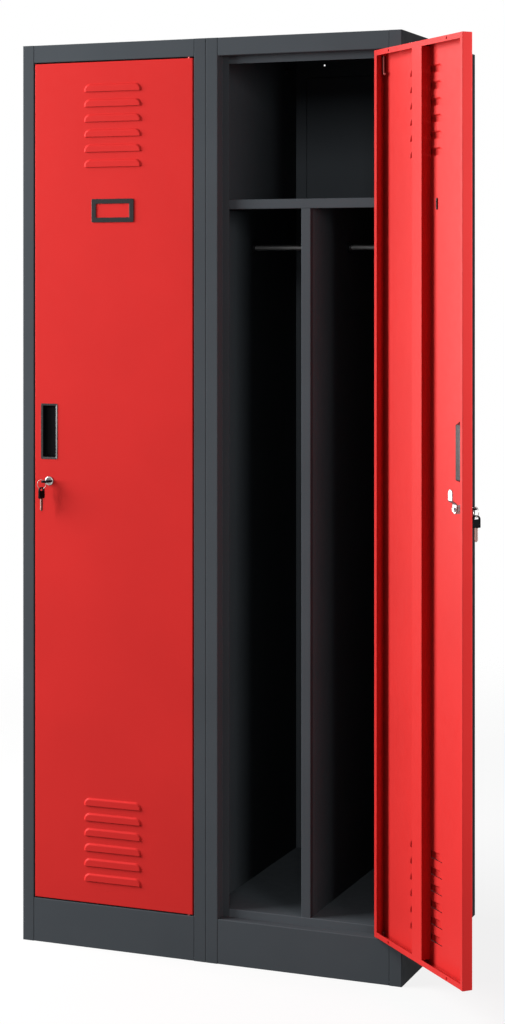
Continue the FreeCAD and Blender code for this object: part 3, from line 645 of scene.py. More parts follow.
def door_sheet(sizes):
    """Folded and pierced door sheet as one grid, from the hinge line of a shut door.

    Each point is (X of its column, face plus the larger of the row's and the column's depth, Z of its
    row), so the grid folds back along all four edges. Louvres lift out of the face, with two rows at
    each mouth, one flat and one lifted. Cells in corners, openings and mouths are left out."""
    low, high = shut_box("door_skin")
    cup_low, cup_high = shut_box("handle_cup")
    card_low, card_high = shut_box("card_frame")
    lock_x, _, lock_level = lock_places()[0]
    face = door_face(sizes)
    depth, pin_depth = high[1] - face, -face
    centre, _, card_level = (card_low + card_high) / 2
    cup_x = inset((cup_low[0], cup_high[0]), cup_cut)
    cup_z = inset((cup_low[2], cup_high[2]), cup_cut)
    tabs = [span(centre + offset, tab_half_width + tab_gap) for offset in (-tab_offset, tab_offset)]
    tab_z = span(card_level, tab_half_height + tab_gap)
    lip_holes = inset((low[0], high[0]), lip_hole_inset)
    lip_levels = inset((low[2], high[2]), sizes.lip / 2)
    between_lips = (low[0] + sizes.free_lip, high[0] - sizes.lip)

    # Columns
    half_width = sizes.louvre_width / 2
    bevel = sizes.louvre_corner * np.linspace(1.0, 0.0, louvre_corner_lines)
    reach = np.concatenate(([louvre_inner_line], half_width - bevel, [half_width + louvre_edge]))
    x_lines = [centre, *(centre + reach), *(centre - reach), *tabs[0], *tabs[1], *cup_x, *between_lips]
    x_lines += around_hole(lock_x, lock_hole) + around_hole(0.0, pin_hole)
    x_lines += [line for hole in lip_holes for line in around_hole(hole, sizes.lip_hole)]
    wall_lines = around_hole(pin_depth, pin_hole)[::-1]
    lip_lines = around_hole(sizes.lip / 2, sizes.lip_hole)[::-1]
    plain = fold_line(sizes, depth, sizes.free_lip, [], wall_lines)
    hinged = fold_line(sizes, depth, sizes.lip, [], wall_lines, sizes.hinge_return)
    column_x, column_depth = across_pan(low[0], high[0], x_lines, plain, hinged)

    # Rows, with a louvre's mouth height for the rows that lift and none for the rest
    rows = [(level, flat_row) for level in (*around_hole(lock_level, lock_hole), *cup_z, *tab_z)]
    flats = (-louvre_edge, 0.0, sizes.louvre_height + louvre_edge)
    lifts = np.concatenate(([0.0, mouth_roll], sizes.louvre_height - bevel))
    for mouth in louvre_mouths(sizes, low[2], high[2]):
        rows += [(mouth + level, flat_row) for level in flats]
        rows += [(mouth + level, mouth) for level in lifts]
    rows = np.array(sorted(rows))
    ledge = fold_line(sizes, depth, sizes.lip, lip_lines, wall_lines)
    row_z, row_depth = across_pan(low[2], high[2], [], ledge, ledge)
    split = len(ledge)
    row_z = np.concatenate((row_z[:split], rows[:, 0], row_z[split:]))
    row_depth = np.concatenate((row_depth[:split], np.zeros(len(rows)), row_depth[split:]))
    row_mouth = np.concatenate((np.full(split, flat_row), rows[:, 1], np.full(split, flat_row)))

    # Points
    x, z = np.meshgrid(column_x, row_z)
    back = np.maximum(row_depth[:, None], column_depth[None, :])
    lift = louvre_lift(sizes, x, z - row_mouth[:, None], centre)
    lift *= (row_mouth > 0)[:, None] & (column_depth == 0)[None, :]
    on_lip = np.isclose(row_depth, depth)
    on_wall = inside(row_depth, (sizes.bend, depth - sizes.sheet))
    x, z = on_circle(x, z, (lock_x, lock_level), lock_hole)
    for hole in lip_holes:
        for level in lip_levels:
            x[on_lip], z[on_lip] = on_circle(x[on_lip], z[on_lip], (hole, level), sizes.lip_hole)
    x[on_wall], back[on_wall] = on_circle(x[on_wall], back[on_wall], (0.0, pin_depth), pin_hole)
    points = np.stack((x, face + back - lift, z), axis=-1)

    # Cells
    column_middle, row_middle = cell_middles(column_x), cell_middles(row_z)
    column_beyond = cell_middles(column_depth) > sizes.bend
    row_fold = cell_middles(row_depth)
    row_beyond = row_fold > sizes.bend
    row_lip = row_fold > depth - sizes.sheet
    left_out = row_beyond[:, None] & column_beyond[None, :]
    left_out |= row_lip[:, None] & ~inside(column_middle, between_lips)[None, :]
    face_rows = row_fold == 0
    left_out |= ((np.diff(row_z) == 0) & face_rows)[:, None]
    openings = [(cup_x, cup_z, face_rows)] + [(tab_x, tab_z, face_rows) for tab_x in tabs]
    openings.append((span(lock_x, lock_hole), span(lock_level, lock_hole), face_rows))
    lip_cells = cell_middles(on_lip.astype(float)) == 1
    for hole in lip_holes:
        for level in lip_levels:
            openings.append((span(hole, sizes.lip_hole), span(level, sizes.lip_hole), lip_cells))
    for x_range, z_range, allowed in openings:
        left_out |= (inside(row_middle, z_range) & allowed)[:, None] & inside(column_middle, x_range)[None, :]
    pin_rows = inside(row_fold, span(pin_depth, pin_hole))
    left_out |= pin_rows[:, None] & inside(column_middle, span(0.0, pin_hole))[None, :]
    index = np.arange(x.size).reshape(x.shape)
    corners = (index[:-1, :-1], index[:-1, 1:], index[1:, 1:], index[1:, :-1])
    faces = np.stack(corners, axis=-1)[~left_out]
    return points.reshape(-1, 3), [faces]


# Matt value of each part of a handle cup, back, rim and hollow: one is matt, below zero is extra glossy. The
# hollow is fully matt and the back nearly so, which keeps them dark as painted shade in the recess and on the
# back.
cup_matt = (0.75, -0.6, 1.0)

# Measures that several lock and key pieces share
cam_thickness = 0.002
thread_groove = 0.0003
thread_pitch = 0.001
key_hole_inset = 0.0045
blade_in_head = 0.004
spare_drop = 0.0003
spare_turns = {"left": math.radians(-10), "right": 0.0}


# Fittings

def card_frame_surface(sizes):
    """Card frame: a bevelled bar carried round a rectangle and joined to itself, with two tabs behind."""
    low, high = shut_box("card_frame")
    face, front, back = door_face(sizes), low[1], high[1]
    x_range, z_range = (low[0], high[0]), (low[2], high[2])
    bar, outer_bevel, inner_bevel = sizes.card_bar, 0.0006, 0.0005
    corner, least_corner = 0.003, 0.0006
    tab_root, tab_bevel = 0.0004, 0.0003
    profile = (
        (0.0, face),
        (0.0, front + outer_bevel),
        (0.3 * outer_bevel, front + 0.3 * outer_bevel),
        (outer_bevel, front),
        (bar - inner_bevel, front),
        (bar - 0.2 * inner_bevel, front + 0.4 * inner_bevel),
        (bar, front + inner_bevel),
        (bar, face),
    )
    sections = []
    for distance, depth in profile:
        radius = max(corner - distance, least_corner)
        sections.append((inset(x_range, distance), inset(z_range, distance), radius, depth))
    parts = [loft(depth_rings(sections), looped=True)]
    middle, _, level = (low + high) / 2
    tab_z = span(level, tab_half_height)
    for offset in (-tab_offset, tab_offset):
        tab_x = span(middle + offset, tab_half_width)
        tab = [(tab_x, tab_z, tab_bevel, depth) for depth in (face - tab_root, back - tab_bevel)]
        tab.append((inset(tab_x, tab_bevel), inset(tab_z, tab_bevel), tab_bevel, back))
        parts.append(loft(depth_rings(tab)))
    return combined(parts)


def handle_cup_surface(sizes):
    """Handle cup: rounded rectangles from its back over the rim and down into the hollow.

    The rim falls inwards from its outer crest. The hollow is steep at the pulled edge; on the other side
    it draws in with a power of its depth, so that fingers slide in. The matt value of each point is given
    with the surface."""
    low, high = shut_box("handle_cup")
    face, crest, back = door_face(sizes), low[1], high[1]
    x_range, z_range = (low[0], high[0]), (low[2], high[2])
    tub, wall, back_edge, crest_edge = 0.0026, 0.0015, 0.001, 0.0004
    pulled_slope, grip_slope, end_slope, hollow_power = 0.0012, 0.008, 0.004, 1.6
    corner, crest_corner, rim_corner = 0.002, 0.0018, 0.0016
    hollow_depth = back - wall - face

    def narrowed(distance, share, depth, radius=corner):
        """Section drawn in all round by a distance, and by a share of each wall's own slope."""
        left, right = inset(x_range, distance)
        limits_x = (left + pulled_slope * share, right - grip_slope * share)
        return limits_x, inset(z_range, distance + end_slope * share), radius, depth

    tub_part = [
        narrowed(tub + back_edge, 1.0, back),
        narrowed(tub, 1.0, back - back_edge / 2),
        narrowed(tub, 0.0, face + sizes.sheet),
        narrowed(tub, 0.0, face),
    ]
    rim_part = [
        narrowed(0.0, 0.0, face),
        narrowed(0.0, 0.0, crest + crest_edge),
        narrowed(0.3 * crest_edge, 0.0, crest + 0.3 * crest_edge),
        narrowed(crest_edge, 0.0, crest, crest_corner),
        narrowed(sizes.cup_rim - 0.0005, 0.0, face - 0.0001, rim_corner),
        narrowed(sizes.cup_rim - 0.0001, 0.0, face + 0.0002, rim_corner),
    ]
    hollow_part = []
    for share in np.linspace(0.06, 1.0, 14):
        level = face + hollow_depth * (1 - (1 - share) ** hollow_power)
        hollow_part.append(narrowed(sizes.cup_rim, share, level))
    points_a_ring = 4 * (corner_steps + 1)
    counts = [points_a_ring * len(part) for part in (tub_part, rim_part, hollow_part)]
    return loft(depth_rings(tub_part + rim_part + hollow_part)), np.repeat(cup_matt, counts)


def lock_places():
    """Point on the lock axis, and the levels along it: bezel front, cam front, cam tip front, barrel end."""
    low, high = shut_box("lock_housing")
    cam_low, cam_high = shut_box("lock_cam")
    axis = ((low[0] + high[0]) / 2, 0.0, (low[2] + high[2]) / 2)
    return np.array(axis), low[1], cam_low[1], cam_high[1] - cam_thickness, high[1]


def lock_housing_surface(sizes):
    """Lock housing: bezel and threaded barrel round a bore, as rings that close on themselves."""
    axis, front, _, _, end = lock_places()
    face = door_face(sizes)
    bore, barrel, rim = 0.00505, 0.0080, 0.00925
    bezel = (
        (bore, front + 0.0006),
        (0.0053, front + 0.0001),
        (0.0056, front),
        (0.0071, front),
        (0.0080, front + 0.0001),
        (0.0087, front + 0.0005),
        (0.0091, front + 0.0011),
        (rim, front + 0.0018),
        (rim, face),
        (barrel, face),
    )
    tail = ((0.0077, end - 0.0003), (0.0073, end), (bore, end))
    thread = threaded_rings(barrel, thread_groove, thread_pitch, face + 0.001, end - 0.0006)
    rings = np.concatenate((round_rings(bezel), thread, round_rings(tail)))
    return moved(loft(rings, looped=True), unturned, axis)


def lock_nut_surface():
    """Lock nut: a hexagon cut by cones at both faces, round a bore."""
    low, high = shut_box("lock_nut")
    near, far = low[1], high[1]
    bore, cone, corner, cone_height, half_width = 0.00805, 0.0104, 0.0120, 0.0007, 0.010
    profile = (
        (bore, near),
        (cone, near),
        (corner, near + cone_height),
        (corner, far - cone_height),
        (cone, far),
        (0.0084, far),
        (bore, far - 0.0004),
    )
    rings = round_rings(profile, hexagon(half_width))
    return moved(loft(rings, looped=True), unturned, lock_places()[0])


def lock_rotor_surface():
    """Rotor: from the keyway's floor out to its round face, back along the plug and onto the square tang."""
    axis, front, cam_front, _, _ = lock_places()
    edge, plug, keyway_depth = 0.0003, 0.0050, 0.0148
    face = front + edge
    slot = (span(0, 0.00355), span(0, 0.00105), 0.0003)
    wide_slot = (span(0, 0.0038), span(0, 0.0013), 0.0005)
    square = (span(0, 0.0025), span(0, 0.0025), 0.0003)

    def disc(radius, depth):
        """Round section at a depth."""
        return span(0, radius), span(0, radius), radius, depth

    sections = [(*slot, face + keyway_depth), (*slot, face + edge), (*wide_slot, face)]
    sections += [disc(plug - edge, face), disc(plug, face + edge), disc(plug, cam_front)]
    sections += [(*square, cam_front), (*square, cam_front + cam_thickness)]
    return moved(loft(depth_rings(sections)), unturned, axis)


def lock_cam_surface():
    """Cam: a flat section carried up a cranked line, its half width following a circle at both ends."""
    axis, _, cam_front, tip_front, _ = lock_places()
    low, high = shut_box("lock_cam")
    bottom, top = low[2] - axis[2], high[2] - axis[2]
    half, corner, edge = (high[0] - low[0]) / 2, 0.0067, 0.0003
    crank_start, crank_length = 0.009, 0.008
    ends = corner * (1 - np.cos(np.linspace(0, quarter_turn, 9)))
    straight = np.linspace(bottom + corner, top - corner, 26)[1:-1]
    level = np.concatenate((bottom + ends, straight, (top - ends)[::-1]))
    to_end = np.minimum(np.minimum(level - bottom, top - level), corner)
    half_width = half - corner + np.sqrt(corner ** 2 - (corner - to_end) ** 2)
    share = np.clip((level - crank_start) / crank_length, 0, 1)
    crank = cam_front + (tip_front - cam_front) * share ** 2 * (3 - 2 * share)
    steep = np.sqrt(1 + np.gradient(crank, level) ** 2)
    rings = []
    for z, across, near, slant in zip(level, half_width, crank, steep):
        flat = rounded_ring(span(0, across), (near, near + cam_thickness * slant), min(edge, across / 2), 3)
        rings.append(np.column_stack((flat, np.full(len(flat), z))))
    return moved(loft(np.array(rings)), unturned, axis * (1, 0, 1))


def cam_screw_surface():
    """Cam screw: a hexagon head cut by a cone, on a round shank."""
    low, high = shut_box("cam_screw")
    radius, chamfer, head_height = 0.0015, 0.0003, 0.003
    corner, half_width = 0.0047, 0.004
    head = high[1] - head_height
    shank = ((radius - chamfer, low[1]), (radius, low[1] + chamfer), (radius, head))
    block = ((corner, head), (corner, high[1] - 0.0006), (0.0039, high[1]))
    rings = np.concatenate((round_rings(shank), round_rings(block, hexagon(half_width))))
    return moved(loft(rings), unturned, lock_places()[0])


def key_blade_surface(start, end):
    """Key blade along Y: a grooved flat section whose edges are notched by a triangle wave of its length.

    The last part narrows to a point, and the wave's depth changes from notch to notch."""
    along = np.linspace(start, end, 64)
    from_tip = end - along
    half_width, half_height, tip_half, tip_slope = 0.0035, 0.001, 0.0008, 0.9
    pitch, deepest, plain_length, run_in = 0.0030, 0.0009, 0.005, 0.001
    wave = np.abs(np.mod(along / pitch, 1.0) * 2 - 1)
    depth = deepest * (0.6 + 0.4 * np.cos(2.4 * np.floor(along / pitch)))
    shoulder = np.clip((along - start - plain_length) / run_in, 0, 1)
    notched = half_width - depth * wave * shoulder
    half = np.minimum(notched, tip_half + from_tip * tip_slope)
    across = np.array((-1, -0.45, -0.38, 0.05, 0.12, 1, 1, 0.45, 0.38, -0.05, -0.12, -1))
    height = np.array((-1, -1, -0.45, -0.45, -1, -1, 1, 1, 0.45, 0.45, 1, 1)) * half_height
    x = half[:, None] * across
    y = np.repeat(along[:, None], len(across), axis=1)
    z = np.repeat(height[None], len(along), axis=0)
    return loft(np.stack((x, y, z), axis=-1))


def key_head_surface(sizes):
    """Key head round its ring hole: rings over the outline, a shallow recess and down through the hole.

    Measured from the hole's middle, with the blade along +Y."""
    outline_x, outline_y = span(0, 0.0085), (-key_hole_inset, sizes.key_head - key_hole_inset)
    hole_x, hole_y = span(0, 0.0052), (-0.0020, 0.0026)
    least_corner = 0.0006
    radii = np.array((0.0075, 0.0075, 0.0015, 0.0015))
    hole_radii = np.array((0.0038, 0.0038, 0.0008, 0.0008))
    outer = ((0.0006, 0.0020), (0.0002, 0.0018), (0.0, 0.0014))
    half = [(outline_x, outline_y, radii, distance, height) for distance, height in reversed(outer)]
    half += [(outline_x, outline_y, radii, 0.0019, 0.0020), (outline_x, outline_y, radii, 0.0022, 0.0016)]
    half += [(hole_x, hole_y, hole_radii, -0.0002, 0.0016), (hole_x, hole_y, hole_radii, 0.0, 0.0012)]
    both = [(*part, 1) for part in half] + [(*part, -1) for part in reversed(half)]
    sections = []
    for x_range, y_range, radius, distance, height, sign in both:
        corner = np.maximum(radius - distance, least_corner)
        sections.append((inset(x_range, distance), inset(y_range, distance), corner, sign * height))
    return loft(height_rings(sections), looped=True)


def key_ring_surface(sizes):
    """Split ring about the Y axis: a flat wire carried round twice, stepping sideways between the turns."""
    crossing, half_gap = 0.4, 0.00031
    angle = np.linspace(0, 2 * full_turn, 193)
    step = np.clip((angle - full_turn + crossing) / (2 * crossing), 0, 1)
    aside = half_gap * (2 * step ** 2 * (3 - 2 * step) - 1)
    path = np.column_stack((sizes.ring_radius * np.cos(angle), aside, sizes.ring_radius * np.sin(angle)))
    section = rounded_ring(span(0, 0.00028), span(0, 0.0004), 0.00018, 3)
    return loft(tube(path, section, (0.0, 1.0, 0.0), np.ones(len(path))))


def key_places():
    """Middle of the ring hole of the key in the lock, and the middle of its ring."""
    axis = lock_places()[0]
    head_end = shut_box("key_head")[0][1]
    ring_low, ring_high = shut_box("key_ring")
    hole = np.array((axis[0], head_end + key_hole_inset, axis[2]))
    return hole, (ring_low + ring_high) / 2


def spare_key(surface, sizes, turn):
    """Key piece hung from the bottom of the ring: blade turned down, then turned about the vertical."""
    _, ring = key_places()
    blade_down = np.array(((1, 0, 0), (0, 0, 1), (0, -1, 0)))
    hang = ring - (0, 0, sizes.ring_radius + spare_drop)
    return moved(surface, turned(quarter_turn + turn) @ blade_down, hang)


def top_pin_surface():
    """Top hinge pin: a round section carried down a line, a quarter circle and a short hook."""
    low, high = shut_box("top_hinge_pin")
    aside = np.array((-0.96, 0.28, 0.0))
    down = np.array((0.0, 0.0, -1.0))
    bend, reach, radius, straight = 0.004, 0.010, 0.0025, 0.002
    top = np.array((0.0, 0.0, high[2]))
    bend_start = np.array((0.0, 0.0, low[2] + radius + bend))
    quarter = np.linspace(0, quarter_turn, 13)[:, None]
    arc = bend_start + bend * (aside * (1 - np.cos(quarter)) + down * np.sin(quarter))
    ends = np.array((0.0, 0.0002, 0.0006, 0.0012))[:, None]
    end_scale = (0.6, 0.78, 0.93, 1.0)
    upper = np.vstack((top + down * ends, bend_start - down * straight))
    tip = arc[-1] + aside * reach
    path = np.vstack((upper, arc, tip - aside * ends[::-1]))
    middle_scale = np.ones(len(path) - 2 * len(end_scale))
    scale = np.concatenate((end_scale, middle_scale, end_scale[::-1]))
    section = rounded_ring(span(0, radius), span(0, radius), radius)
    return loft(tube(path, section, np.cross(aside, down), scale))


def bottom_pin_surface():
    """Bottom hinge pin: a round pin with chamfered ends and a shoulder, turned about the vertical."""
    low, high = shut_box("bottom_hinge_pin")
    radius, chamfer = 0.0025, 0.0007
    shoulder, edge, shoulder_height = 0.0035, 0.0003, 0.0022
    shoulder_top = shut_box("door_skin")[0][2]
    shoulder_bottom = shoulder_top - shoulder_height
    profile = (
        (radius - chamfer, low[2]),
        (radius, low[2] + chamfer),
        (radius, shoulder_bottom),
        (shoulder - edge, shoulder_bottom),
        (shoulder, shoulder_bottom + edge),
        (shoulder, shoulder_top - edge),
        (shoulder - edge, shoulder_top),
        (radius, shoulder_top),
        (radius, high[2] - chamfer),
        (radius - chamfer, high[2]),
    )
    return moved(loft(round_rings(profile, steps=48)), along_z, (0, 0, 0))


def rod_surfaces(side):
    """Hanging rods and their sockets, turned about X between the walls and the partition."""
    rod_low, rod_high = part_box(side + "_hanging_rods")
    wall_low, wall_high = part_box(side + "_rod_sockets")
    middle_low, middle_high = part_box(side + "_partition")
    radius, reach = (rod_high[2] - rod_low[2]) / 2, (wall_high[2] - wall_low[2]) / 2
    centre = (0, (rod_low[1] + rod_high[1]) / 2, (rod_low[2] + rod_high[2]) / 2)
    floor, cup, chamfer = rod_low[0] - wall_low[0], 0.007, 0.0006
    rods, sockets = [], []
    for start, end in ((wall_low[0], middle_low[0]), (middle_high[0], wall_high[0])):
        near, far = start + floor, end - floor
        rod = (
            (radius - chamfer, near),
            (radius, near + chamfer),
            (radius, far - chamfer),
            (radius - chamfer, far),
        )
        rods.append(moved(loft(round_rings(rod)), along_x, centre))
        for wall, sign in ((start, 1), (end, -1)):
            profile = (
                (reach - 0.0004, 0.0),
                (reach, 0.0004),
                (reach, 0.0018),
                (reach - 0.0005, 0.0024),
                (reach - 0.0022, 0.0028),
                (reach - 0.0028, 0.0034),
                (reach - 0.0031, cup - 0.0006),
                (reach - 0.0037, cup),
                (radius + 0.0007, cup),
                (radius + 0.0002, cup - 0.0005),
                (radius + 0.0002, floor),
            )
            placed = [(across, wall + sign * along) for across, along in profile]
            sockets.append(moved(loft(round_rings(placed)), along_x, centre))
    return combined(rods), combined(sockets)


def bolt_surfaces():
    """Joining bolts and nuts about X: hexagons cut by cones, threaded shanks with chamfered ends."""
    low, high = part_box("joining_bolts")
    sheet, half, nut, radius = 0.0008, 0.0055, 0.005, 0.003
    corner, cone, bore = 0.0064, 0.0058, 0.00302
    nut_end = sheet + nut
    profile = ((0.0050, low[0]), (corner, low[0] + 0.0009), (corner, -sheet))
    nut_profile = (
        (bore, sheet),
        (cone, sheet),
        (corner, sheet + 0.0006),
        (corner, nut_end - 0.0006),
        (cone, nut_end),
        (0.0033, nut_end),
        (bore, nut_end - 0.0003),
    )
    shank = threaded_rings(radius, thread_groove, thread_pitch, nut_end, high[0] - 0.0006)
    tip = round_rings(((0.0023, high[0]),))
    plain = round_rings(((radius, -sheet), (radius, nut_end - 0.0002)))
    bolt = loft(np.concatenate((round_rings(profile, hexagon(half)), plain, shank, tip)))
    fitted = loft(round_rings(nut_profile, hexagon(half)), looped=True)
    reach_y, low_z, high_z = high[1] - half / math.cos(math.pi / 6), low[2] + half, high[2] - half
    places = [(0.0, y, z) for y in (-reach_y, reach_y) for z in (low_z, high_z)]
    return combined([moved(form, along_x, place) for place in places for form in (bolt, fitted)])


# Operators

class DressCabinet(bpy.types.Operator):
    """Paint the folded sheets of both bays"""

    bl_idname = "locker.dress_cabinet"
    bl_label = "Cabinet"

    def execute(self, context):
        nodes = list(shared_sheets) + [side + "_" + name for side in sides for name in bay_sheets]
        for node in nodes:
            coat(node, finish_of("carcass_paint"))
        return {"FINISHED"}


class MakeDoors(bpy.types.Operator):
    """Fold the louvred door sheets and paint the pieces welded to them"""

    bl_idname = "locker.make_doors"
    bl_label = "Doors"

    def execute(self, context):
        sizes = context.scene.locker_sizes
        sheet = door_sheet(sizes)
        for side in sides:
            hung = on_door(sheet, side)
            paint = finish_of("door_paint")
            add_piece(side + "_door_skin", hung, paint, side + "_door", sizes.sheet)
            for node in ("_door_stiffener", "_pin_guide"):
                coat(side + node, paint)
        return {"FINISHED"}


class MakeCardFrames(bpy.types.Operator):
    """Mould the card frames on the doors"""

    bl_idname = "locker.make_card_frames"
    bl_label = "Card frames"

    def execute(self, context):
        add_to_doors("card_frame", card_frame_surface(context.scene.locker_sizes), "door", "black_plastic")
        return {"FINISHED"}


class MakeHandleCups(bpy.types.Operator):
    """Mould the recessed handle cups"""

    bl_idname = "locker.make_handle_cups"
    bl_label = "Handle cups"

    def execute(self, context):
        cup, matt = handle_cup_surface(context.scene.locker_sizes)
        add_to_doors("handle_cup", cup, "door", "black_plastic", matt=matt)
        return {"FINISHED"}


class MakeLocks(bpy.types.Operator):
    """Build the cam locks: housing, nut, rotor, cam and cam screw"""

    bl_idname = "locker.make_locks"
    bl_label = "Locks"

    def execute(self, context):
        housing = lock_housing_surface(context.scene.locker_sizes)
        add_to_doors("lock_housing", housing, "door", "bright_metal")
        add_to_doors("lock_nut", lock_nut_surface(), "door", "zinc_steel")
        add_to_doors("lock_rotor", lock_rotor_surface(), "lock_core", "bright_metal")
        add_to_doors("lock_cam", lock_cam_surface(), "lock_core", "zinc_steel")
        add_to_doors("cam_screw", cam_screw_surface(), "lock_core", "zinc_steel")
        return {"FINISHED"}


class MakeKeys(bpy.types.Operator):
    """Build the keys, their rings and the spare keys"""

    bl_idname = "locker.make_keys"
    bl_label = "Keys"

    def execute(self, context):
        sizes = context.scene.locker_sizes
        hole, ring = key_places()
        tip = shut_box("key_blade")[1][1] - hole[1]
        head_end = sizes.key_head - key_hole_inset
        blade_root = head_end - blade_in_head
        head = key_head_surface(sizes)
        all_matt = np.ones(len(head[0]))
        add_to_doors("key_head", moved(head, unturned, hole), "key", "black_plastic", matt=all_matt)
        inserted = key_blade_surface(blade_root, tip)
        # Blades in the darker, red-tinted steel: painted reflection of the door
        add_to_doors("key_blade", moved(inserted, unturned, hole), "key", "zinc_steel", "reflection_tinted_steel")
        add_to_doors("key_ring", moved(key_ring_surface(sizes), unturned, ring), "ring", "bright_metal")
        blade = key_blade_surface(blade_root, head_end + sizes.key_blade)
        plastic, steel = finish_of("black_plastic"), finish_of("reflection_tinted_steel")
        for side, turn in spare_turns.items():
            hung_head = on_door(spare_key(head, sizes, turn), side)
            hung_blade = on_door(spare_key(blade, sizes, turn), side)
            body = side + "_spare_key"
            add_piece(body + "_head", hung_head, plastic, body, matt=all_matt)
            add_piece(body + "_blade", hung_blade, steel, body)
        return {"FINISHED"}


class MakeHangingRods(bpy.types.Operator):
    """Turn the hanging rods and their end sockets"""

    bl_idname = "locker.make_hanging_rods"
    bl_label = "Hanging rods"

    def execute(self, context):
        for side in sides:
            rods, sockets = rod_surfaces(side)
            steel = finish_of("rod_steel")
            add_piece(side + "_hanging_rods", rods, steel, "carcass")
            plastic = finish_of("black_plastic")
            add_piece(side + "_rod_sockets", sockets, plastic, "carcass")
        return {"FINISHED"}


class MakeHingePins(bpy.types.Operator):
    """Make the upper and lower hinge pins"""

    bl_idname = "locker.make_hinge_pins"
    bl_label = "Hinge pins"

    def execute(self, context):
        add_to_doors("top_hinge_pin", top_pin_surface(), "top_pin", "zinc_steel", "pin_steel")
        add_to_doors("bottom_hinge_pin", bottom_pin_surface(), "door", "zinc_steel", "pin_steel")
        return {"FINISHED"}


class MakeBolts(bpy.types.Operator):
    """Make the bolts and nuts that join the two bays"""

    bl_idname = "locker.make_bolts"
    bl_label = "Joining bolts"

    def execute(self, context):
        add_piece("joining_bolts", bolt_surfaces(), finish_of("black_steel"), "carcass")
        return {"FINISHED"}


# Floor: radii and counts of its rings, where it fades out, and how far its glow reaches under the cabinet
floor_radii = (0.1, 3.6)
floor_rings = 15
floor_steps = 96
floor_fade = (1.4, 3.4)
cover_inset = 0.002

# Lamps: place, target, and width and height
lamps = {
    "left": ((-3.3, -1.2, 2.2), (0.1, -0.2, 1.4), (3.2, 2.8)),
    "side": ((-3.3, -0.55, 2.0), (0.5, -0.4, 1.7), (2.0, 3.2)),
    "front": ((1.2, -4.0, 2.5), (0.1, 0.0, 1.5), (1.2, 1.2)),
    "right": ((2.9, -0.2, 1.8), (0.6, -0.5, 1.3), (1.6, 1.6)),
    "inside": ((3.4, -3.0, 1.8), (0.2, 0.0, 0.8), (1.2, 1.2)),
    "back": ((-1.0, 4.0, 2.4), (0.0, 0.25, 1.0), (2.0, 2.0)),
}

# Upright sheets inside the bays, which have a lamp of their own
inner_sheets = ("middle_left_side_panel", "middle_right_side_panel", "left_partition", "right_partition")

# Camera at the photograph's angle, with its sensor and lens in millimetres
camera_place = (1.64899, -4.13792, 1.33140)
camera_turn = math.radians(21.746)
camera_sensor = 36.0
camera_lens = 76.23
camera_shift = -0.2278


# Stage

def seen_directly(make):
    """One for rays that show the stage itself: from the camera, off gloss or through glass."""
    path = make("ShaderNodeLightPath", {}).outputs
    first = make("ShaderNodeMath", {0: path["Is Camera Ray"], 1: path["Is Glossy Ray"]}, operation="MAXIMUM")
    sockets = {0: first.outputs[0], 1: path["Is Transmission Ray"]}
    return make("ShaderNodeMath", sockets, operation="MAXIMUM").outputs[0]


def below_locker(make, place):
    """One on the ground that the cabinet covers, just inside its outer side panels."""
    low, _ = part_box("outer_left_side_panel")
    _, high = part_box("outer_right_side_panel")
    middle = (Vector(low) + Vector(high)) / 2
    reach = (Vector(high) - Vector(low)) / 2 - Vector.Fill(3, cover_inset)
    offset = make("ShaderNodeVectorMath", {0: place, 1: middle}, operation="SUBTRACT").outputs["Vector"]
    size = make("ShaderNodeVectorMath", {0: offset}, operation="ABSOLUTE").outputs["Vector"]
    away = make("ShaderNodeSeparateXYZ", {"Vector": size}).outputs
    across, along = (
        make("ShaderNodeMath", {0: away[axis], 1: reach[axis]}, operation="LESS_THAN").outputs[0]
        for axis in (0, 1)
    )
    return make("ShaderNodeMath", {0: across, 1: along}, operation="MULTIPLY").outputs[0]


def floor_finish(stage):
    """Pale floor: a matt surface that takes the shadow, clear far away.

    To the camera it glows white, but for the ground that the cabinet covers."""
    material, make, place = new_finish("pale_floor")
    relief = bumps(make, place, ((300.0, 0.05, 0.0005),))
    matt = []
    for shade in (stage.floor, stage.floor_seen):
        base = tones(make, noise(make, place, 3.0, 3.0), shade, 0.015)
        matt.append(make("ShaderNodeBsdfDiffuse", {"Color": base, **relief}).outputs["BSDF"])
    glow = make("ShaderNodeEmission", {"Strength": 1.0}).outputs["Emission"]
    glow_sockets = {"Value": below_locker(make, place), "To Min": stage.floor_glow, "To Max": 0.0}
    share = make("ShaderNodeMapRange", glow_sockets).outputs["Result"]
    seen = make("ShaderNodeMixShader", {0: share, 1: matt[1], 2: glow}).outputs["Shader"]
    near_sockets = {0: seen_directly(make), 1: matt[0], 2: seen}
    near = make("ShaderNodeMixShader", near_sockets).outputs["Shader"]
    distance = make("ShaderNodeVectorMath", {0: place}, operation="LENGTH").outputs["Value"]
    fade_sockets = {"Value": distance, "From Min": floor_fade[0], "From Max": floor_fade[1]}
    fade = make("ShaderNodeMapRange", fade_sockets, interpolation_type="SMOOTHSTEP").outputs["Result"]
    clear = make("ShaderNodeBsdfTransparent", {}).outputs["BSDF"]
    mixed = make("ShaderNodeMixShader", {0: fade, 1: near, 2: clear}).outputs["Shader"]
    make("ShaderNodeOutputMaterial", {"Surface": mixed})
    return material


def add_floor(stage):
    """Round floor: rings of growing radius about the locker, lying on the ground."""
    radius = np.linspace(*floor_radii, floor_rings)[:, None]
    angle = np.linspace(0, full_turn, floor_steps, endpoint=False)
    x, y = radius * np.cos(angle), radius * np.sin(angle)
    rings = np.stack((x, y, np.zeros_like(x)), axis=-1)
    points, faces = loft(rings)
    mesh = bpy.data.meshes.new("floor")
    mesh.from_pydata(points.tolist(), [], [face for part in faces[:2] for face in part.tolist()])
    floor = bpy.data.objects.new("floor", mesh)
    bpy.context.scene.collection.objects.link(floor)
    mesh.materials.append(floor_finish(stage))
    return floor


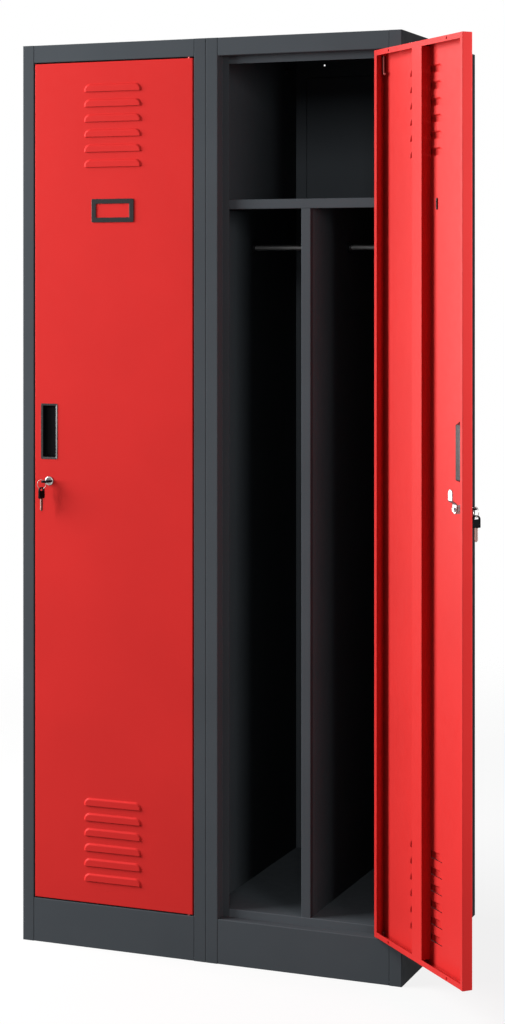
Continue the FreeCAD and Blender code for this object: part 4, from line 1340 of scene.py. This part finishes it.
def add_light(name, place, target, size, watts, receivers):
    """Rectangular area light at a place, aimed at a target, that falls on its receivers only."""
    lamp = bpy.data.lights.new(name, "AREA")
    lamp.shape = "RECTANGLE"
    lamp.size, lamp.size_y = size
    lamp.energy = watts
    light = bpy.data.objects.new(name, lamp)
    light.location = place
    aim = Vector(target) - Vector(place)
    light.rotation_euler = aim.to_track_quat("-Z", "Y").to_euler()
    bpy.context.scene.collection.objects.link(light)
    light.light_linking.receiver_collection = bpy.data.collections.new(name + "_receivers")
    for item in receivers:
        light.light_linking.receiver_collection.objects.link(item)


def gathered_pieces():
    """Fixed pieces, pieces of the shut door and pieces of the open door, for lights of their own."""
    groups_of_pieces = ([], [], [])
    for item in bpy.context.scene.objects:
        body = item.get("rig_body")
        if body is not None:
            number = 0 if body == "carcass" else 1 + sides.index(body.split("_")[0])
            groups_of_pieces[number].append(item)
    return groups_of_pieces


def lit_pieces(floor):
    """Pieces that each lamp falls on."""
    cabinet, shut_door, open_door = gathered_pieces()
    inner = [frame["nodes"][sheet] for sheet in inner_sheets]
    bay_floors = [frame["nodes"][side + "_floor_panel"] for side in sides]
    return {
        "left": cabinet + shut_door + [floor],
        "side": open_door,
        "front": [item for item in cabinet if item not in inner] + shut_door,
        "right": open_door,
        "inside": inner + bay_floors,
        "back": cabinet + shut_door + open_door,
    }


def add_world(stage):
    """White surroundings where they are seen, and a weak even light on the object."""
    world = bpy.data.worlds.new("studio")
    bpy.context.scene.world = world
    world.use_nodes = True
    world.node_tree.nodes.clear()
    make = node_maker(world.node_tree)
    sockets = {"Value": seen_directly(make), "To Min": stage.ambient, "To Max": 1.0}
    strength = make("ShaderNodeMapRange", sockets).outputs["Result"]
    white = (1.0, 1.0, 1.0, 1.0)
    background = make("ShaderNodeBackground", {"Color": white, "Strength": strength})
    make("ShaderNodeOutputWorld", {"Surface": background.outputs["Background"]})


def add_camera():
    """Level camera to the right of the locker, at the photograph's angle."""
    camera = bpy.data.cameras.new("camera")
    camera.sensor_fit = "VERTICAL"
    camera.sensor_height = camera_sensor
    camera.lens = camera_lens
    camera.shift_y = camera_shift
    holder = bpy.data.objects.new("camera", camera)
    holder.location = camera_place
    holder.rotation_euler = (quarter_turn, 0.0, camera_turn)
    bpy.context.scene.collection.objects.link(holder)
    bpy.context.scene.camera = holder


class SetStage(bpy.types.Operator):
    """Lay the floor, set the lights and place the camera"""

    bl_idname = "locker.set_stage"
    bl_label = "Stage"

    def execute(self, context):
        stage = context.scene.locker_stage
        context.scene.view_settings.view_transform = "Standard"
        floor = add_floor(stage)
        add_world(stage)
        receivers = lit_pieces(floor)
        for name, (place, target, size) in lamps.items():
            watts = getattr(stage, name + "_power")
            add_light(name + "_light", place, target, size, watts, receivers[name])
        add_camera()
        return {"FINISHED"}


class LockerPanel(bpy.types.Panel):
    """Sidebar list of the locker's sizes, colours and steps"""

    bl_idname = "VIEW3D_PT_locker"
    bl_label = "Clothing locker"
    bl_space_type = "VIEW_3D"
    bl_region_type = "UI"
    bl_category = "Locker"

    def draw(self, context):
        for group in (context.scene.locker_finish, context.scene.locker_sizes, context.scene.locker_stage):
            column = self.layout.column()
            for key in group.__annotations__:
                column.prop(group, key)
        for step in steps:
            self.layout.operator(step.bl_idname)


steps = (
    DressCabinet,
    MakeDoors,
    MakeCardFrames,
    MakeHandleCups,
    MakeLocks,
    MakeKeys,
    MakeHangingRods,
    MakeHingePins,
    MakeBolts,
    SetStage,
)
groups = {"locker_finish": LockerFinish, "locker_sizes": LockerSizes, "locker_stage": LockerStage}


def register():
    """Register the classes and hang the property groups on the scene."""
    for item in (*groups.values(), *steps, LockerPanel):
        bpy.utils.register_class(item)
    for name, group in groups.items():
        setattr(bpy.types.Scene, name, bpy.props.PointerProperty(type=group))


def unregister():
    """Take the property groups off the scene and unregister the classes."""
    for name in groups:
        delattr(bpy.types.Scene, name)
    for item in reversed((*groups.values(), *steps, LockerPanel)):
        bpy.utils.unregister_class(item)


def main():
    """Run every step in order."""
    register()
    for step in steps:
        family, name = step.bl_idname.split(".")
        getattr(getattr(bpy.ops, family), name)()


if __name__ == "__main__":
    main()
